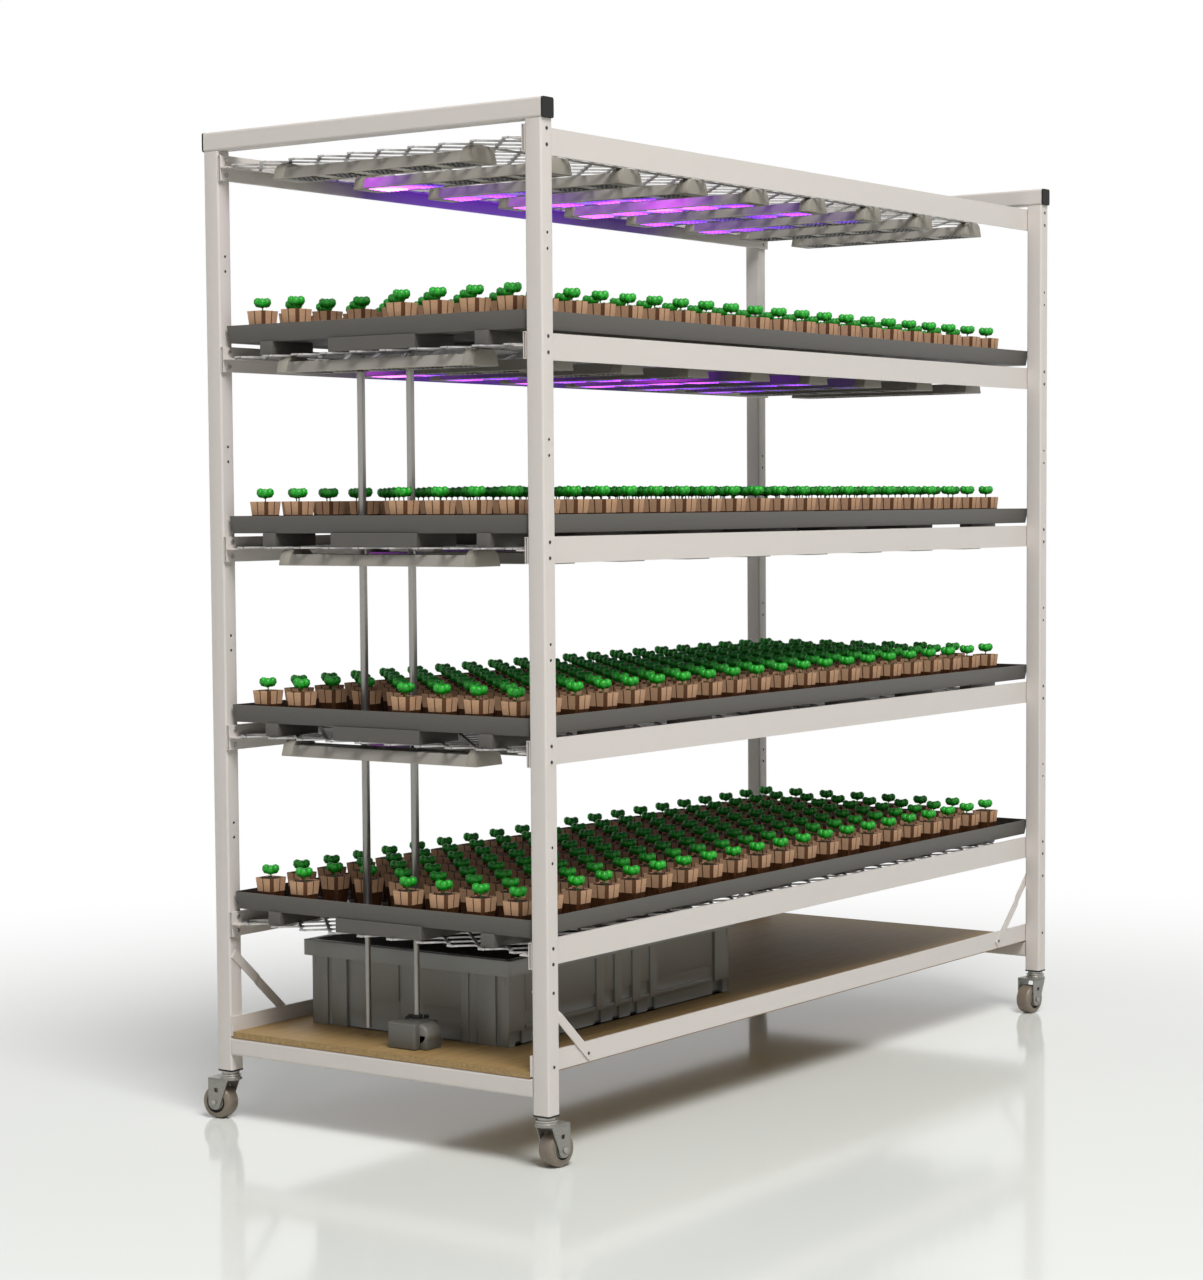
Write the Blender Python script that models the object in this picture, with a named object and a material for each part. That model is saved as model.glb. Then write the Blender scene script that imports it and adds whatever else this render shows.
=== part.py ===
"""Rolling grow bench: four posts on swivel casters, five mesh decks, four flood trays, lights and water.

The origin is at the centre of the bench on the floor. X runs along the long side, -Y is the front,
and all sizes are in metres. Tiers are counted from the top.
"""

import math

import bmesh
import bpy
from mathutils import Matrix, Vector

# The frame's outer size and the square tube it is made of
BENCH_LENGTH = 2.470
BENCH_DEPTH = 1.011
POST_LENGTH = 2.231
TUBE_WIDTH = 0.0426
TUBE_DEPTH = 0.0458
TUBE_WALL = 0.0025
TUBE_CORNER = 0.005

# Pairs of holes down each post, which set the heights of the shelves
HOLE_PAIR_GAP = 0.0358
HOLE_DROP = 0.022
HOLE_FOOT = 0.3802
HOLE_RADIUS = 0.003
HOLE_PAIRS = 9
PAIRS_PER_TIER = 2

# The gap between pieces that touch, and the length that a cutter runs on past a face
FIT = 0.0003
OVERRUN = 0.002

# End caps of the top rails
CAP_HEAD = 0.0045
CAP_PLUG = 0.018

# Shelf rails: a flat tube with a ledge, bolted behind the posts
SHELF_RAIL_HEIGHT = 0.0605
SHELF_RAIL_THICKNESS = 0.008
SHELF_RAIL_WALL = 0.0015
SHELF_RAIL_RISE = 0.0115
LEDGE_WIDTH = 0.025
LEDGE_THICKNESS = 0.003
LEDGE_DROP = 0.0285

# Mesh decks
DECK_THICKNESS = 0.004
DECK_STRAND = 0.014
DECK_GAP_COLUMNS = 10
DECK_BAR_OFFSET = 0.095

# Flood trays
TRAY_END_GAP = 0.010
TRAY_SIDE_GAP = 0.0062
TRAY_DEPTH = 0.042
TRAY_FLARE = 0.006
TRAY_SHEET = 0.003
FOOT_HEIGHT = 0.032
FOOT_LENGTH = 0.150
FOOT_END_GAP = 0.002
FOOT_WALL = 0.0025
SIDE_FOOT_WIDTH = 0.040
SIDE_FOOT_INSET = 0.1289
CENTRE_FOOT_WIDTH = 0.2606
FOOT_STATIONS = 7

# Light banks, hung under the decks
LIGHT_COUNT = 9
LIGHT_SIDE_GAP = 0.2085
LIGHT_WIDTH = 0.097
LIGHT_TOP_WIDTH = 0.080
LIGHT_HEIGHT = 0.027
LIGHT_FLANGE_THICKNESS = 0.003
LIGHT_END_INSET = 0.0645
LIGHT_DROP = 0.013
LIGHT_BLOCK_LENGTH = 0.032
LIGHT_BLOCK_TOP_WIDTH = 0.056
LIGHT_BLOCK_INSET = 0.001
STRAP_WIDTH = 0.018
STRAP_THICKNESS = 0.002

# Pots and seedlings
POT_ROWS = 8
POT_COLUMNS = 21
POT_SIDE_GAP = 0.07585
POT_FIRST = 0.0617
POT_LAST = 0.1383
POT_HEIGHT = 0.073
POT_WIDTH = 0.0565
POT_BASE_WIDTH = 0.038
MAT_THICKNESS = 0.002
MAT_MARGIN = 0.002
SEEDLING_HEIGHT = 0.035
SEEDLING_WIDTH = 0.045
STEM_HEIGHT = 0.010
STEM_WIDTH = 0.012
FIRST_COLUMN_OPEN_ROWS = (4, 5)

# Bottom deck
DECK_HEIGHT = 0.206
END_RAIL_HEIGHT = 0.0434
BOARD_THICKNESS = 0.015
DECK_RAIL_HEIGHT = 0.048
DECK_RAIL_THICKNESS = 0.006
DECK_RAIL_RISE = 0.0045

# Braces: flat bar with a joggle, from the post's inner face to the deck rail's outer face
BRACE_WIDTH = 0.023
BRACE_THICKNESS = 0.003
BRACE_TOP = 0.4034
BRACE_REACH = 0.2147
BRACE_SCREW_RISE = 0.0207
BRACE_END = 0.013
JOGGLE_START_SHARE = 0.36
JOGGLE_END_SHARE = 0.42

# Casters, from the floor up
WHEEL_RADIUS = 0.042
WHEEL_WIDTH = 0.043
WHEEL_EDGE = 0.008
HUB_WIDTH = 0.045
AXLE_RADIUS = 0.004
AXLE_HEAD_RADIUS = 0.007
AXLE_HEAD_THICKNESS = 0.004
FORK_TRAIL = 0.031
FORK_CHEEK = 0.0035
FORK_SIDE_GAP = 0.002
FORK_LEG_RADIUS = 0.018
CHEEK_LEAD = 0.010
CROWN_GAP = 0.015
CROWN_THICKNESS = 0.0045
RACE_RADIUS = 0.026
RACE_HEIGHT = 0.010
PLATE_INSET = 0.0008
PLATE_THICKNESS = 0.007
SOCKET_FLANGE = 0.0042
SOCKET_LIP = 0.0006
SOCKET_DEPTH = 0.030
KINGPIN_RADIUS = 0.006
KINGPIN_LENGTH = 0.030
SWIVEL_CLEARANCE = 0.0006

# Reservoir tub
TUB_LENGTH = 0.950
TUB_FRONT_GAP = 0.270
TUB_BACK_GAP = 0.1355
TUB_HEIGHT = 0.209
TUB_TAPER = 0.006
TUB_WALL = 0.004
TUB_INSET = 0.208
TUB_RIM_HEIGHT = 0.038
TUB_RIM_PROUD = 0.020
TUB_CORNER_LENGTH = 0.064
TUB_CORNER_DEPTH = 0.112
TUB_RIB_WIDTH = 0.032
TUB_RIB_PROUD = 0.009
TUB_LONG_RIB_SHARES = (-0.108, -0.026, 0.055, 0.137)

# Pump
PUMP_INSET = 0.0503
PUMP_LENGTH = 0.0914
PUMP_WIDTH = 0.0846
PUMP_HEIGHT = 0.0626
PUMP_ROUNDING = 0.010
PUMP_OFFSET = -0.0357
MOTOR_RADIUS = 0.026
MOTOR_LENGTH = 0.058
MOTOR_OVERHANG = 0.025
OUTLET_RADIUS = 0.0135
OUTLET_HEIGHT = 0.008

# Water pipes
PIPE_RADIUS = 0.0095
PIPE_WALL = 0.0015
PIPE_INSET = 0.1234
SUPPLY_OFFSET = -0.0265
DRAIN_OFFSET = 0.124
PIPE_STAND = 0.006
PIPE_ROOM = 0.003
DRAIN_END_GAP = 0.025

# How many sides stand for a round
HOLE_SIDES = 6
PIPE_SIDES = 12
WHEEL_SIDES = 16
RACE_SIDES = 16
CORNER_STEPS = 2

# The way each caster trails from its post, in degrees from +X
TRAIL_ANGLES = {"front_left": -7.0, "back_left": 97.0, "front_right": 173.0, "back_right": 83.0}

# Heights and places worked out from the sizes above
AXLE_HEIGHT = WHEEL_RADIUS * math.cos(math.pi / WHEEL_SIDES)
CROWN_BOTTOM = AXLE_HEIGHT + WHEEL_RADIUS + CROWN_GAP
CROWN_TOP = CROWN_BOTTOM + CROWN_THICKNESS
RACE_TOP = CROWN_TOP + RACE_HEIGHT
PLATE_BOTTOM = RACE_TOP + FIT
SOCKET_BOTTOM = PLATE_BOTTOM + PLATE_THICKNESS
POST_BOTTOM = SOCKET_BOTTOM + SOCKET_FLANGE
POST_TOP = POST_BOTTOM + POST_LENGTH
TOP_HOLE = POST_TOP - HOLE_DROP
HOLE_PITCH = (POST_LENGTH - HOLE_DROP - HOLE_FOOT) / (HOLE_PAIRS - 1)
HALF_LENGTH = BENCH_LENGTH / 2
HALF_DEPTH = BENCH_DEPTH / 2
POST_FACE = HALF_DEPTH - TUBE_DEPTH
WEB_FACE = POST_FACE - FIT - SHELF_RAIL_THICKNESS
LEDGE_FACE = WEB_FACE - LEDGE_WIDTH
BOARD_TOP = DECK_HEIGHT + FIT + BOARD_THICKNESS
TRAY_LENGTH = BENCH_LENGTH - 2 * TRAY_END_GAP
TRAY_WIDTH = 2 * (POST_FACE - TRAY_SIDE_GAP)
SIDE_FOOT_OFFSET = TRAY_WIDTH / 2 - SIDE_FOOT_INSET
LIGHT_LENGTH = BENCH_DEPTH - 2 * LIGHT_SIDE_GAP
STRAP_OFFSET = (LIGHT_LENGTH - LIGHT_BLOCK_LENGTH) / 2
POT_ROW_PITCH = (TRAY_WIDTH - 2 * POT_SIDE_GAP) / (POT_ROWS - 1)
POT_COLUMN_PITCH = (BENCH_LENGTH - POT_FIRST - POT_LAST) / (POT_COLUMNS - 1)
TUB_WIDTH = BENCH_DEPTH - TUB_FRONT_GAP - TUB_BACK_GAP
TUB_OFFSET = (TUB_FRONT_GAP - TUB_BACK_GAP) / 2
PIPE_X = -HALF_LENGTH + PIPE_INSET
PIPE_OFFSETS = {"supply_pipe": SUPPLY_OFFSET, "drain_pipe": DRAIN_OFFSET}
POT_FIRST_X = -HALF_LENGTH + POT_FIRST
TIERS = range(5)
PLANTED_TIERS = range(1, 5)
LIT_TIERS = range(4)


def tier_hole(tier):
    """Height of the upper bolt hole of a tier's rails."""
    return TOP_HOLE - tier * PAIRS_PER_TIER * HOLE_PITCH


def deck_bottom(tier):
    """Underside of a tier's mesh deck, on the ledges."""
    return tier_hole(tier) + SHELF_RAIL_RISE - LEDGE_DROP + FIT


def tray_foot(tier):
    """Underside of the feet of a tier's tray, on the mesh."""
    return deck_bottom(tier) + DECK_THICKNESS + FIT


def tray_floor(tier):
    """Top of a tray's flat floor."""
    return tray_foot(tier) + FOOT_HEIGHT + TRAY_SHEET


# Small tools for solids


def clear_scene():
    for old in list(bpy.data.objects):
        bpy.data.objects.remove(old)


def paint(name, colour, roughness, metallic=0.0):
    """A plain Principled material."""
    made = bpy.data.materials.new(name)
    made.use_nodes = True
    shader = made.node_tree.nodes["Principled BSDF"]
    shader.inputs["Base Color"].default_value = (*colour, 1.0)
    shader.inputs["Roughness"].default_value = roughness
    shader.inputs["Metallic"].default_value = metallic
    return made


def mesh_of(name, bm):
    bmesh.ops.recalc_face_normals(bm, faces=bm.faces)
    mesh = bpy.data.meshes.new(name)
    bm.to_mesh(mesh)
    bm.free()
    return mesh


def box(bm, low, high):
    """Adds a box between two corners."""
    size = Vector(high) - Vector(low)
    middle = (Vector(high) + Vector(low)) / 2
    bmesh.ops.create_cube(bm, size=1.0, matrix=Matrix.Translation(middle) @ Matrix.Diagonal((*size, 1.0)))


def loft(bm, rings):
    """Joins rings of equal count into one closed solid."""
    made = [[bm.verts.new(point) for point in ring] for ring in rings]
    count = len(made[0])
    for lower, upper in zip(made, made[1:]):
        for i in range(count):
            j = (i + 1) % count
            bm.faces.new((lower[i], lower[j], upper[j], upper[i]))
    bm.faces.new(list(reversed(made[0])))
    bm.faces.new(made[-1])


def prism(bm, outline, axis, start, end):
    """Extrudes a flat outline along an axis. The outline lies in the other two axes, in order."""

    def lift(point, along):
        first, second = point
        return {"X": (along, first, second), "Y": (first, along, second), "Z": (first, second, along)}[axis]

    loft(bm, [[lift(point, along) for point in outline] for along in (start, end)])


def rectangle(width, height, centre=(0.0, 0.0)):
    x, y = centre
    a, b = width / 2, height / 2
    return [(x - a, y - b), (x + a, y - b), (x + a, y + b), (x - a, y + b)]


def round_outline(radius, sides, centre=(0.0, 0.0), turn=0.0):
    x, y = centre
    steps = (turn + math.tau * i / sides for i in range(sides))
    return [(x + radius * math.cos(t), y + radius * math.sin(t)) for t in steps]


def both_sides(right):
    """The outline whose right half is given from the bottom up."""
    return right + [(-across, height) for across, height in reversed(right)]


def rounded_rectangle(width, height, radius, steps=CORNER_STEPS):
    """A rectangle whose corners are arcs."""
    points = []
    for quarter, (sx, sy) in enumerate(((1, 1), (-1, 1), (-1, -1), (1, -1))):
        cx = sx * (width / 2 - radius)
        cy = sy * (height / 2 - radius)
        for i in range(steps + 1):
            t = math.pi / 2 * (quarter + i / steps)
            points.append((cx + radius * math.cos(t), cy + radius * math.sin(t)))
    return points


def combine(name, base, *changes):
    """Unites or cuts shapes in order and gives back the finished mesh."""
    body = bpy.data.objects.new(name, base)
    bpy.context.collection.objects.link(body)
    helpers = []
    for operation, mesh in changes:
        helper = bpy.data.objects.new(name + "_helper", mesh)
        bpy.context.collection.objects.link(helper)
        helper.hide_render = True
        helper.display_type = "WIRE"
        helpers.append(helper)
        step = body.modifiers.new(operation.lower(), "BOOLEAN")
        step.operation = operation
        step.solver = "EXACT"
        step.object = helper
    bpy.context.view_layer.update()
    graph = bpy.context.evaluated_depsgraph_get()
    finished = bpy.data.meshes.new_from_object(body.evaluated_get(graph))
    for used in (body, *helpers):
        bpy.data.objects.remove(used)
    finished.name = name
    return finished


def place(name, mesh, material, location=(0.0, 0.0, 0.0), angle=0.0, parent=None):
    """Makes one piece from a mesh."""
    piece = bpy.data.objects.new(name, mesh)
    bpy.context.collection.objects.link(piece)
    piece.location = location
    piece.rotation_euler = (0.0, 0.0, angle)
    piece.parent = parent
    mesh.materials.clear()
    mesh.materials.append(material)
    return piece


def shade_round(mesh):
    mesh.shade_smooth()
    mesh.set_sharp_from_angle(angle=math.radians(35))


# Frame


def post_mesh():
    """A drilled tube with the caster's socket and top plate in its lower end."""
    body = bmesh.new()
    prism(body, rounded_rectangle(TUBE_WIDTH, TUBE_DEPTH, TUBE_CORNER), "Z", POST_BOTTOM, POST_TOP)

    flange = bmesh.new()
    lip = 2 * SOCKET_LIP
    outline = rounded_rectangle(TUBE_WIDTH + lip, TUBE_DEPTH + lip, TUBE_CORNER)
    prism(flange, outline, "Z", SOCKET_BOTTOM, POST_BOTTOM + TUBE_WALL)

    plate = bmesh.new()
    outline = rounded_rectangle(TUBE_WIDTH - 2 * PLATE_INSET, TUBE_DEPTH - 2 * PLATE_INSET, TUBE_CORNER)
    prism(plate, outline, "Z", PLATE_BOTTOM, POST_BOTTOM)

    cuts = bmesh.new()
    bore = rectangle(TUBE_WIDTH - 2 * TUBE_WALL, TUBE_DEPTH - 2 * TUBE_WALL)
    prism(cuts, bore, "Z", POST_BOTTOM + SOCKET_DEPTH, POST_TOP + OVERRUN)
    pin_hole = round_outline(KINGPIN_RADIUS + SWIVEL_CLEARANCE, RACE_SIDES)
    prism(cuts, pin_hole, "Z", PLATE_BOTTOM - OVERRUN, POST_BOTTOM + SOCKET_DEPTH - TUBE_WALL)

    # The bolts of the rails fill the pairs that carry a tier, so only the pairs between are open.
    drilled = bmesh.new()
    for pair in range(1, HOLE_PAIRS, PAIRS_PER_TIER):
        for below in (0.0, HOLE_PAIR_GAP):
            height = TOP_HOLE - pair * HOLE_PITCH - below
            hole = round_outline(HOLE_RADIUS, HOLE_SIDES, (0.0, height))
            prism(drilled, hole, "Y", -TUBE_DEPTH / 2 - OVERRUN, TUBE_DEPTH / 2 + OVERRUN)

    return combine(
        "post",
        mesh_of("post_tube", body),
        ("UNION", mesh_of("socket_flange", flange)),
        ("UNION", mesh_of("caster_plate", plate)),
        ("DIFFERENCE", mesh_of("post_bore", cuts)),
        ("DIFFERENCE", mesh_of("post_holes", drilled)),
    )


def tube_mesh(name, outline, bore, axis, half):
    """An open tube centred on its middle."""
    body = bmesh.new()
    prism(body, outline, axis, -half, half)
    hollow = bmesh.new()
    prism(hollow, bore, axis, -half - OVERRUN, half + OVERRUN)
    return combine(name, mesh_of(name + "_body", body), ("DIFFERENCE", mesh_of(name + "_bore", hollow)))


def top_rail_mesh():
    outline = rounded_rectangle(TUBE_WIDTH, TUBE_DEPTH, TUBE_CORNER)
    bore = rectangle(TUBE_WIDTH - 2 * TUBE_WALL, TUBE_DEPTH - 2 * TUBE_WALL)
    return tube_mesh("top_rail", outline, bore, "Y", HALF_DEPTH)


def end_rail_mesh():
    outline = rounded_rectangle(TUBE_WIDTH, END_RAIL_HEIGHT, TUBE_CORNER)
    bore = rectangle(TUBE_WIDTH - 2 * TUBE_WALL, END_RAIL_HEIGHT - 2 * TUBE_WALL)
    return tube_mesh("end_rail", outline, bore, "Y", POST_FACE - FIT)


def cap_mesh():
    """A plug with a head, facing -Y."""
    head = bmesh.new()
    prism(head, rounded_rectangle(TUBE_WIDTH, TUBE_DEPTH, TUBE_CORNER), "Y", -CAP_HEAD, 0.0)
    plug = bmesh.new()
    inside = 2 * (TUBE_WALL + FIT)
    prism(plug, rectangle(TUBE_WIDTH - inside, TUBE_DEPTH - inside), "Y", -CAP_HEAD / 2, CAP_PLUG)
    return combine("top_cap", mesh_of("cap_head", head), ("UNION", mesh_of("cap_plug", plug)))


def shelf_rail_mesh():
    """A flat tube on edge with its ledge towards +Y, its outer face at Y = 0 and its top at Z = 0."""
    body = bmesh.new()
    middle = (SHELF_RAIL_THICKNESS / 2, -SHELF_RAIL_HEIGHT / 2)
    web = rectangle(SHELF_RAIL_THICKNESS, SHELF_RAIL_HEIGHT, middle)
    prism(body, web, "X", -HALF_LENGTH, HALF_LENGTH)
    ledge = bmesh.new()
    low = (-HALF_LENGTH, SHELF_RAIL_THICKNESS - SHELF_RAIL_WALL / 2, -LEDGE_DROP - LEDGE_THICKNESS)
    high = (HALF_LENGTH, SHELF_RAIL_THICKNESS + LEDGE_WIDTH, -LEDGE_DROP)
    box(ledge, low, high)
    hollow = bmesh.new()
    inner_thickness = SHELF_RAIL_THICKNESS - 2 * SHELF_RAIL_WALL
    inner_height = SHELF_RAIL_HEIGHT - 2 * SHELF_RAIL_WALL
    bore = rectangle(inner_thickness, inner_height, middle)
    prism(hollow, bore, "X", -HALF_LENGTH - OVERRUN, HALF_LENGTH + OVERRUN)
    return combine(
        "shelf_rail",
        mesh_of("rail_web", body),
        ("UNION", mesh_of("rail_ledge", ledge)),
        ("DIFFERENCE", mesh_of("rail_bore", hollow)),
    )


def build_frame(material, cap_material):
    post = post_mesh()
    end_x = HALF_LENGTH - TUBE_WIDTH / 2
    side_y = HALF_DEPTH - TUBE_DEPTH / 2
    for side, sy in (("front", -1), ("back", 1)):
        for end, sx in (("left", -1), ("right", 1)):
            place(f"post_{side}_{end}", post, material, (sx * end_x, sy * side_y, 0.0))

    rail = top_rail_mesh()
    cap = cap_mesh()
    top_height = POST_TOP + FIT + TUBE_DEPTH / 2
    for end, sx in (("left", -1), ("right", 1)):
        place(f"top_rail_{end}", rail, material, (sx * end_x, 0.0, top_height))
        for side, sy, angle in (("front", -1, 0.0), ("back", 1, math.pi)):
            spot = (sx * end_x, sy * (HALF_DEPTH + FIT), top_height)
            place(f"top_cap_{side}_{end}", cap, cap_material, spot, angle)

    shelf_rail = shelf_rail_mesh()
    for tier in TIERS:
        for side, sy, angle in (("front", -1, 0.0), ("back", 1, math.pi)):
            spot = (0.0, sy * (POST_FACE - FIT), tier_hole(tier) + SHELF_RAIL_RISE)
            place(f"shelf_rail_{side}_{tier + 1}", shelf_rail, material, spot, angle)


# Bottom deck


def brace_mesh():
    """The joggled bar in the XZ plane: screw centre at the origin, the other down and along +X.

    Its upper part stands inside the post's inner face at Y = 0, its lower part outside the rail there.
    """
    run = BRACE_REACH - TUBE_WIDTH / 2
    fall = BRACE_TOP - (DECK_HEIGHT + DECK_RAIL_RISE + BRACE_SCREW_RISE)
    length = math.hypot(run, fall)
    inside = FIT + BRACE_THICKNESS
    start = length * JOGGLE_START_SHARE
    end = length * JOGGLE_END_SHARE
    profile = [
        (-BRACE_END, FIT),
        (start, FIT),
        (end, -inside),
        (length + BRACE_END, -inside),
        (length + BRACE_END, -FIT),
        (end, -FIT),
        (start, inside),
        (-BRACE_END, inside),
    ]
    bm = bmesh.new()
    prism(bm, profile, "Z", -BRACE_WIDTH / 2, BRACE_WIDTH / 2)
    tilt = Matrix.Rotation(math.atan2(fall, run), 4, "Y")
    bmesh.ops.transform(bm, matrix=tilt, verts=bm.verts)
    return mesh_of("brace", bm)


def mirrored(name, mesh, axes):
    """A copy of a mesh mirrored along the given axes, its faces still outwards."""
    bm = bmesh.new()
    bm.from_mesh(mesh)
    scale = Matrix.Diagonal((*axes, 1.0, 1.0))
    bmesh.ops.transform(bm, matrix=scale, verts=bm.verts)
    return mesh_of(name, bm)


def build_bottom_deck(material, wood):
    end_rail = end_rail_mesh()
    for end, sx in (("left", -1), ("right", 1)):
        spot = (sx * (HALF_LENGTH - TUBE_WIDTH / 2), 0.0, DECK_HEIGHT - END_RAIL_HEIGHT / 2)
        place(f"end_rail_{end}", end_rail, material, spot)

    outer = POST_FACE - FIT
    rail = bmesh.new()
    half_rail = DECK_RAIL_THICKNESS / 2
    box(rail, (-HALF_LENGTH, -half_rail, 0.0), (HALF_LENGTH, half_rail, DECK_RAIL_HEIGHT))
    deck_rail = mesh_of("deck_rail", rail)
    for side, sy in (("front", -1), ("back", 1)):
        spot = (0.0, sy * (outer - half_rail), DECK_HEIGHT + DECK_RAIL_RISE)
        place(f"deck_rail_{side}", deck_rail, material, spot)

    half_board = outer - DECK_RAIL_THICKNESS - FIT
    board = bmesh.new()
    box(board, (-HALF_LENGTH, -half_board, 0.0), (HALF_LENGTH, half_board, BOARD_THICKNESS))
    place("deck_board", mesh_of("deck_board", board), wood, (0.0, 0.0, DECK_HEIGHT + FIT))

    brace = brace_mesh()
    for side, sy in (("front", -1), ("back", 1)):
        for end, sx in (("left", -1), ("right", 1)):
            name = f"brace_{side}_{end}"
            spot = (sx * (HALF_LENGTH - TUBE_WIDTH / 2), sy * POST_FACE, BRACE_TOP)
            place(name, mirrored(name, brace, (-sx, -sy)), material, spot)


# Shelves


def deck_mesh():
    """A sheet with a grid of openings and room for the pipes, its long bars under the trays' feet."""
    half_y = WEB_FACE - FIT
    sheet = bmesh.new()
    box(sheet, (-HALF_LENGTH, -half_y, 0.0), (HALF_LENGTH, half_y, DECK_THICKNESS))

    half_bar = DECK_STRAND / 2
    right = (DECK_BAR_OFFSET, SIDE_FOOT_OFFSET, LEDGE_FACE)
    lines = [-offset for offset in reversed(right)] + list(right)
    step = (BENCH_LENGTH - DECK_STRAND) / DECK_GAP_COLUMNS
    cuts = bmesh.new()
    for column in range(DECK_GAP_COLUMNS):
        x = -HALF_LENGTH + DECK_STRAND + column * step
        end = x + step - DECK_STRAND
        for low, high in zip(lines, lines[1:]):
            box(cuts, (x, low + half_bar, -OVERRUN), (end, high - half_bar, DECK_THICKNESS + OVERRUN))

    pipes = bmesh.new()
    for offset in PIPE_OFFSETS.values():
        hole = round_outline(PIPE_RADIUS + PIPE_ROOM, HOLE_SIDES, (PIPE_X, offset))
        prism(pipes, hole, "Z", -OVERRUN, DECK_THICKNESS + OVERRUN)
    return combine(
        "mesh_deck",
        mesh_of("deck_sheet", sheet),
        ("DIFFERENCE", mesh_of("deck_gaps", cuts)),
        ("DIFFERENCE", mesh_of("deck_pipe_room", pipes)),
    )


def pan_rings(inset, floor, rim):
    """The two rings of a flared pan, set in from the outside by a sheet."""
    rings = []
    for height, flare in ((floor, TRAY_FLARE), (rim, 0.0)):
        x = TRAY_LENGTH - 2 * (flare + inset)
        y = TRAY_WIDTH - 2 * (flare + inset)
        rings.append([(*point, height) for point in rectangle(x, y)])
    return rings


def tray_mesh():
    """A flared pan on three lines of moulded feet, with the feet's undersides at Z = 0."""
    body = bmesh.new()
    rim = FOOT_HEIGHT + TRAY_DEPTH
    loft(body, pan_rings(0.0, FOOT_HEIGHT, rim))

    feet = bmesh.new()
    moulds = bmesh.new()
    half_line = TRAY_LENGTH / 2 - FOOT_END_GAP
    step = (2 * half_line - FOOT_LENGTH) / (FOOT_STATIONS - 1)
    lines = {-SIDE_FOOT_OFFSET: SIDE_FOOT_WIDTH, 0.0: CENTRE_FOOT_WIDTH, SIDE_FOOT_OFFSET: SIDE_FOOT_WIDTH}
    foot_top = FOOT_HEIGHT + TRAY_SHEET / 2
    for station in range(FOOT_STATIONS):
        x = -half_line + station * step
        for y, width in lines.items():
            box(feet, (x, y - width / 2, 0.0), (x + FOOT_LENGTH, y + width / 2, foot_top))
        hollow = CENTRE_FOOT_WIDTH / 2 - FOOT_WALL
        low = (x + FOOT_WALL, -hollow, -OVERRUN)
        high = (x + FOOT_LENGTH - FOOT_WALL, hollow, FOOT_HEIGHT)
        box(moulds, low, high)

    inside = bmesh.new()
    slope = TRAY_FLARE / TRAY_DEPTH
    levels = {
        FOOT_HEIGHT + TRAY_SHEET: TRAY_FLARE - slope * TRAY_SHEET + TRAY_SHEET,
        rim + OVERRUN: TRAY_SHEET - slope * OVERRUN,
    }
    rings = []
    for height, inset in levels.items():
        outline = rectangle(TRAY_LENGTH - 2 * inset, TRAY_WIDTH - 2 * inset)
        rings.append([(*point, height) for point in outline])
    loft(inside, rings)

    holes = bmesh.new()
    for offset in PIPE_OFFSETS.values():
        hole = round_outline(PIPE_RADIUS + FIT, PIPE_SIDES, (PIPE_X, offset))
        prism(holes, hole, "Z", -OVERRUN, FOOT_HEIGHT + TRAY_SHEET + OVERRUN)
    return combine(
        "flood_tray",
        mesh_of("tray_body", body),
        ("UNION", mesh_of("tray_feet", feet)),
        ("DIFFERENCE", mesh_of("tray_inside", inside)),
        ("DIFFERENCE", mesh_of("tray_moulds", moulds)),
        ("DIFFERENCE", mesh_of("tray_holes", holes)),
    )


def light_bank_mesh():
    """Housings across the bench, hung by their raised end blocks on two straps whose tops are at Z = 0."""
    first = -HALF_LENGTH + LIGHT_END_INSET
    half, top_half, block_half = LIGHT_WIDTH / 2, LIGHT_TOP_WIDTH / 2, LIGHT_BLOCK_TOP_WIDTH / 2
    straps = bmesh.new()
    reach = -first + block_half
    for sy in (-1, 1):
        y = sy * STRAP_OFFSET
        box(straps, (-reach, y - STRAP_WIDTH / 2, -STRAP_THICKNESS), (reach, y + STRAP_WIDTH / 2, 0.0))

    top = -LIGHT_DROP
    bottom = top - LIGHT_HEIGHT
    flange = bottom + LIGHT_FLANGE_THICKNESS
    shape = both_sides([(half, bottom), (half, flange), (top_half, top)])
    side = top_half - LIGHT_BLOCK_INSET
    crest = -STRAP_THICKNESS / 2
    raised = both_sides([(side, flange), (side, top), (block_half, crest)])
    housings = bmesh.new()
    blocks = bmesh.new()
    pitch = -2 * first / (LIGHT_COUNT - 1)
    half_block = LIGHT_BLOCK_LENGTH / 2 - LIGHT_BLOCK_INSET
    for i in range(LIGHT_COUNT):
        x = first + i * pitch
        prism(housings, [(x + px, pz) for px, pz in shape], "Y", -LIGHT_LENGTH / 2, LIGHT_LENGTH / 2)
        for sy in (-1, 1):
            y = sy * STRAP_OFFSET
            prism(blocks, [(x + px, pz) for px, pz in raised], "Y", y - half_block, y + half_block)
    return combine(
        "light_bank",
        mesh_of("light_housings", housings),
        ("UNION", mesh_of("light_blocks", blocks)),
        ("UNION", mesh_of("light_straps", straps)),
    )


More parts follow.
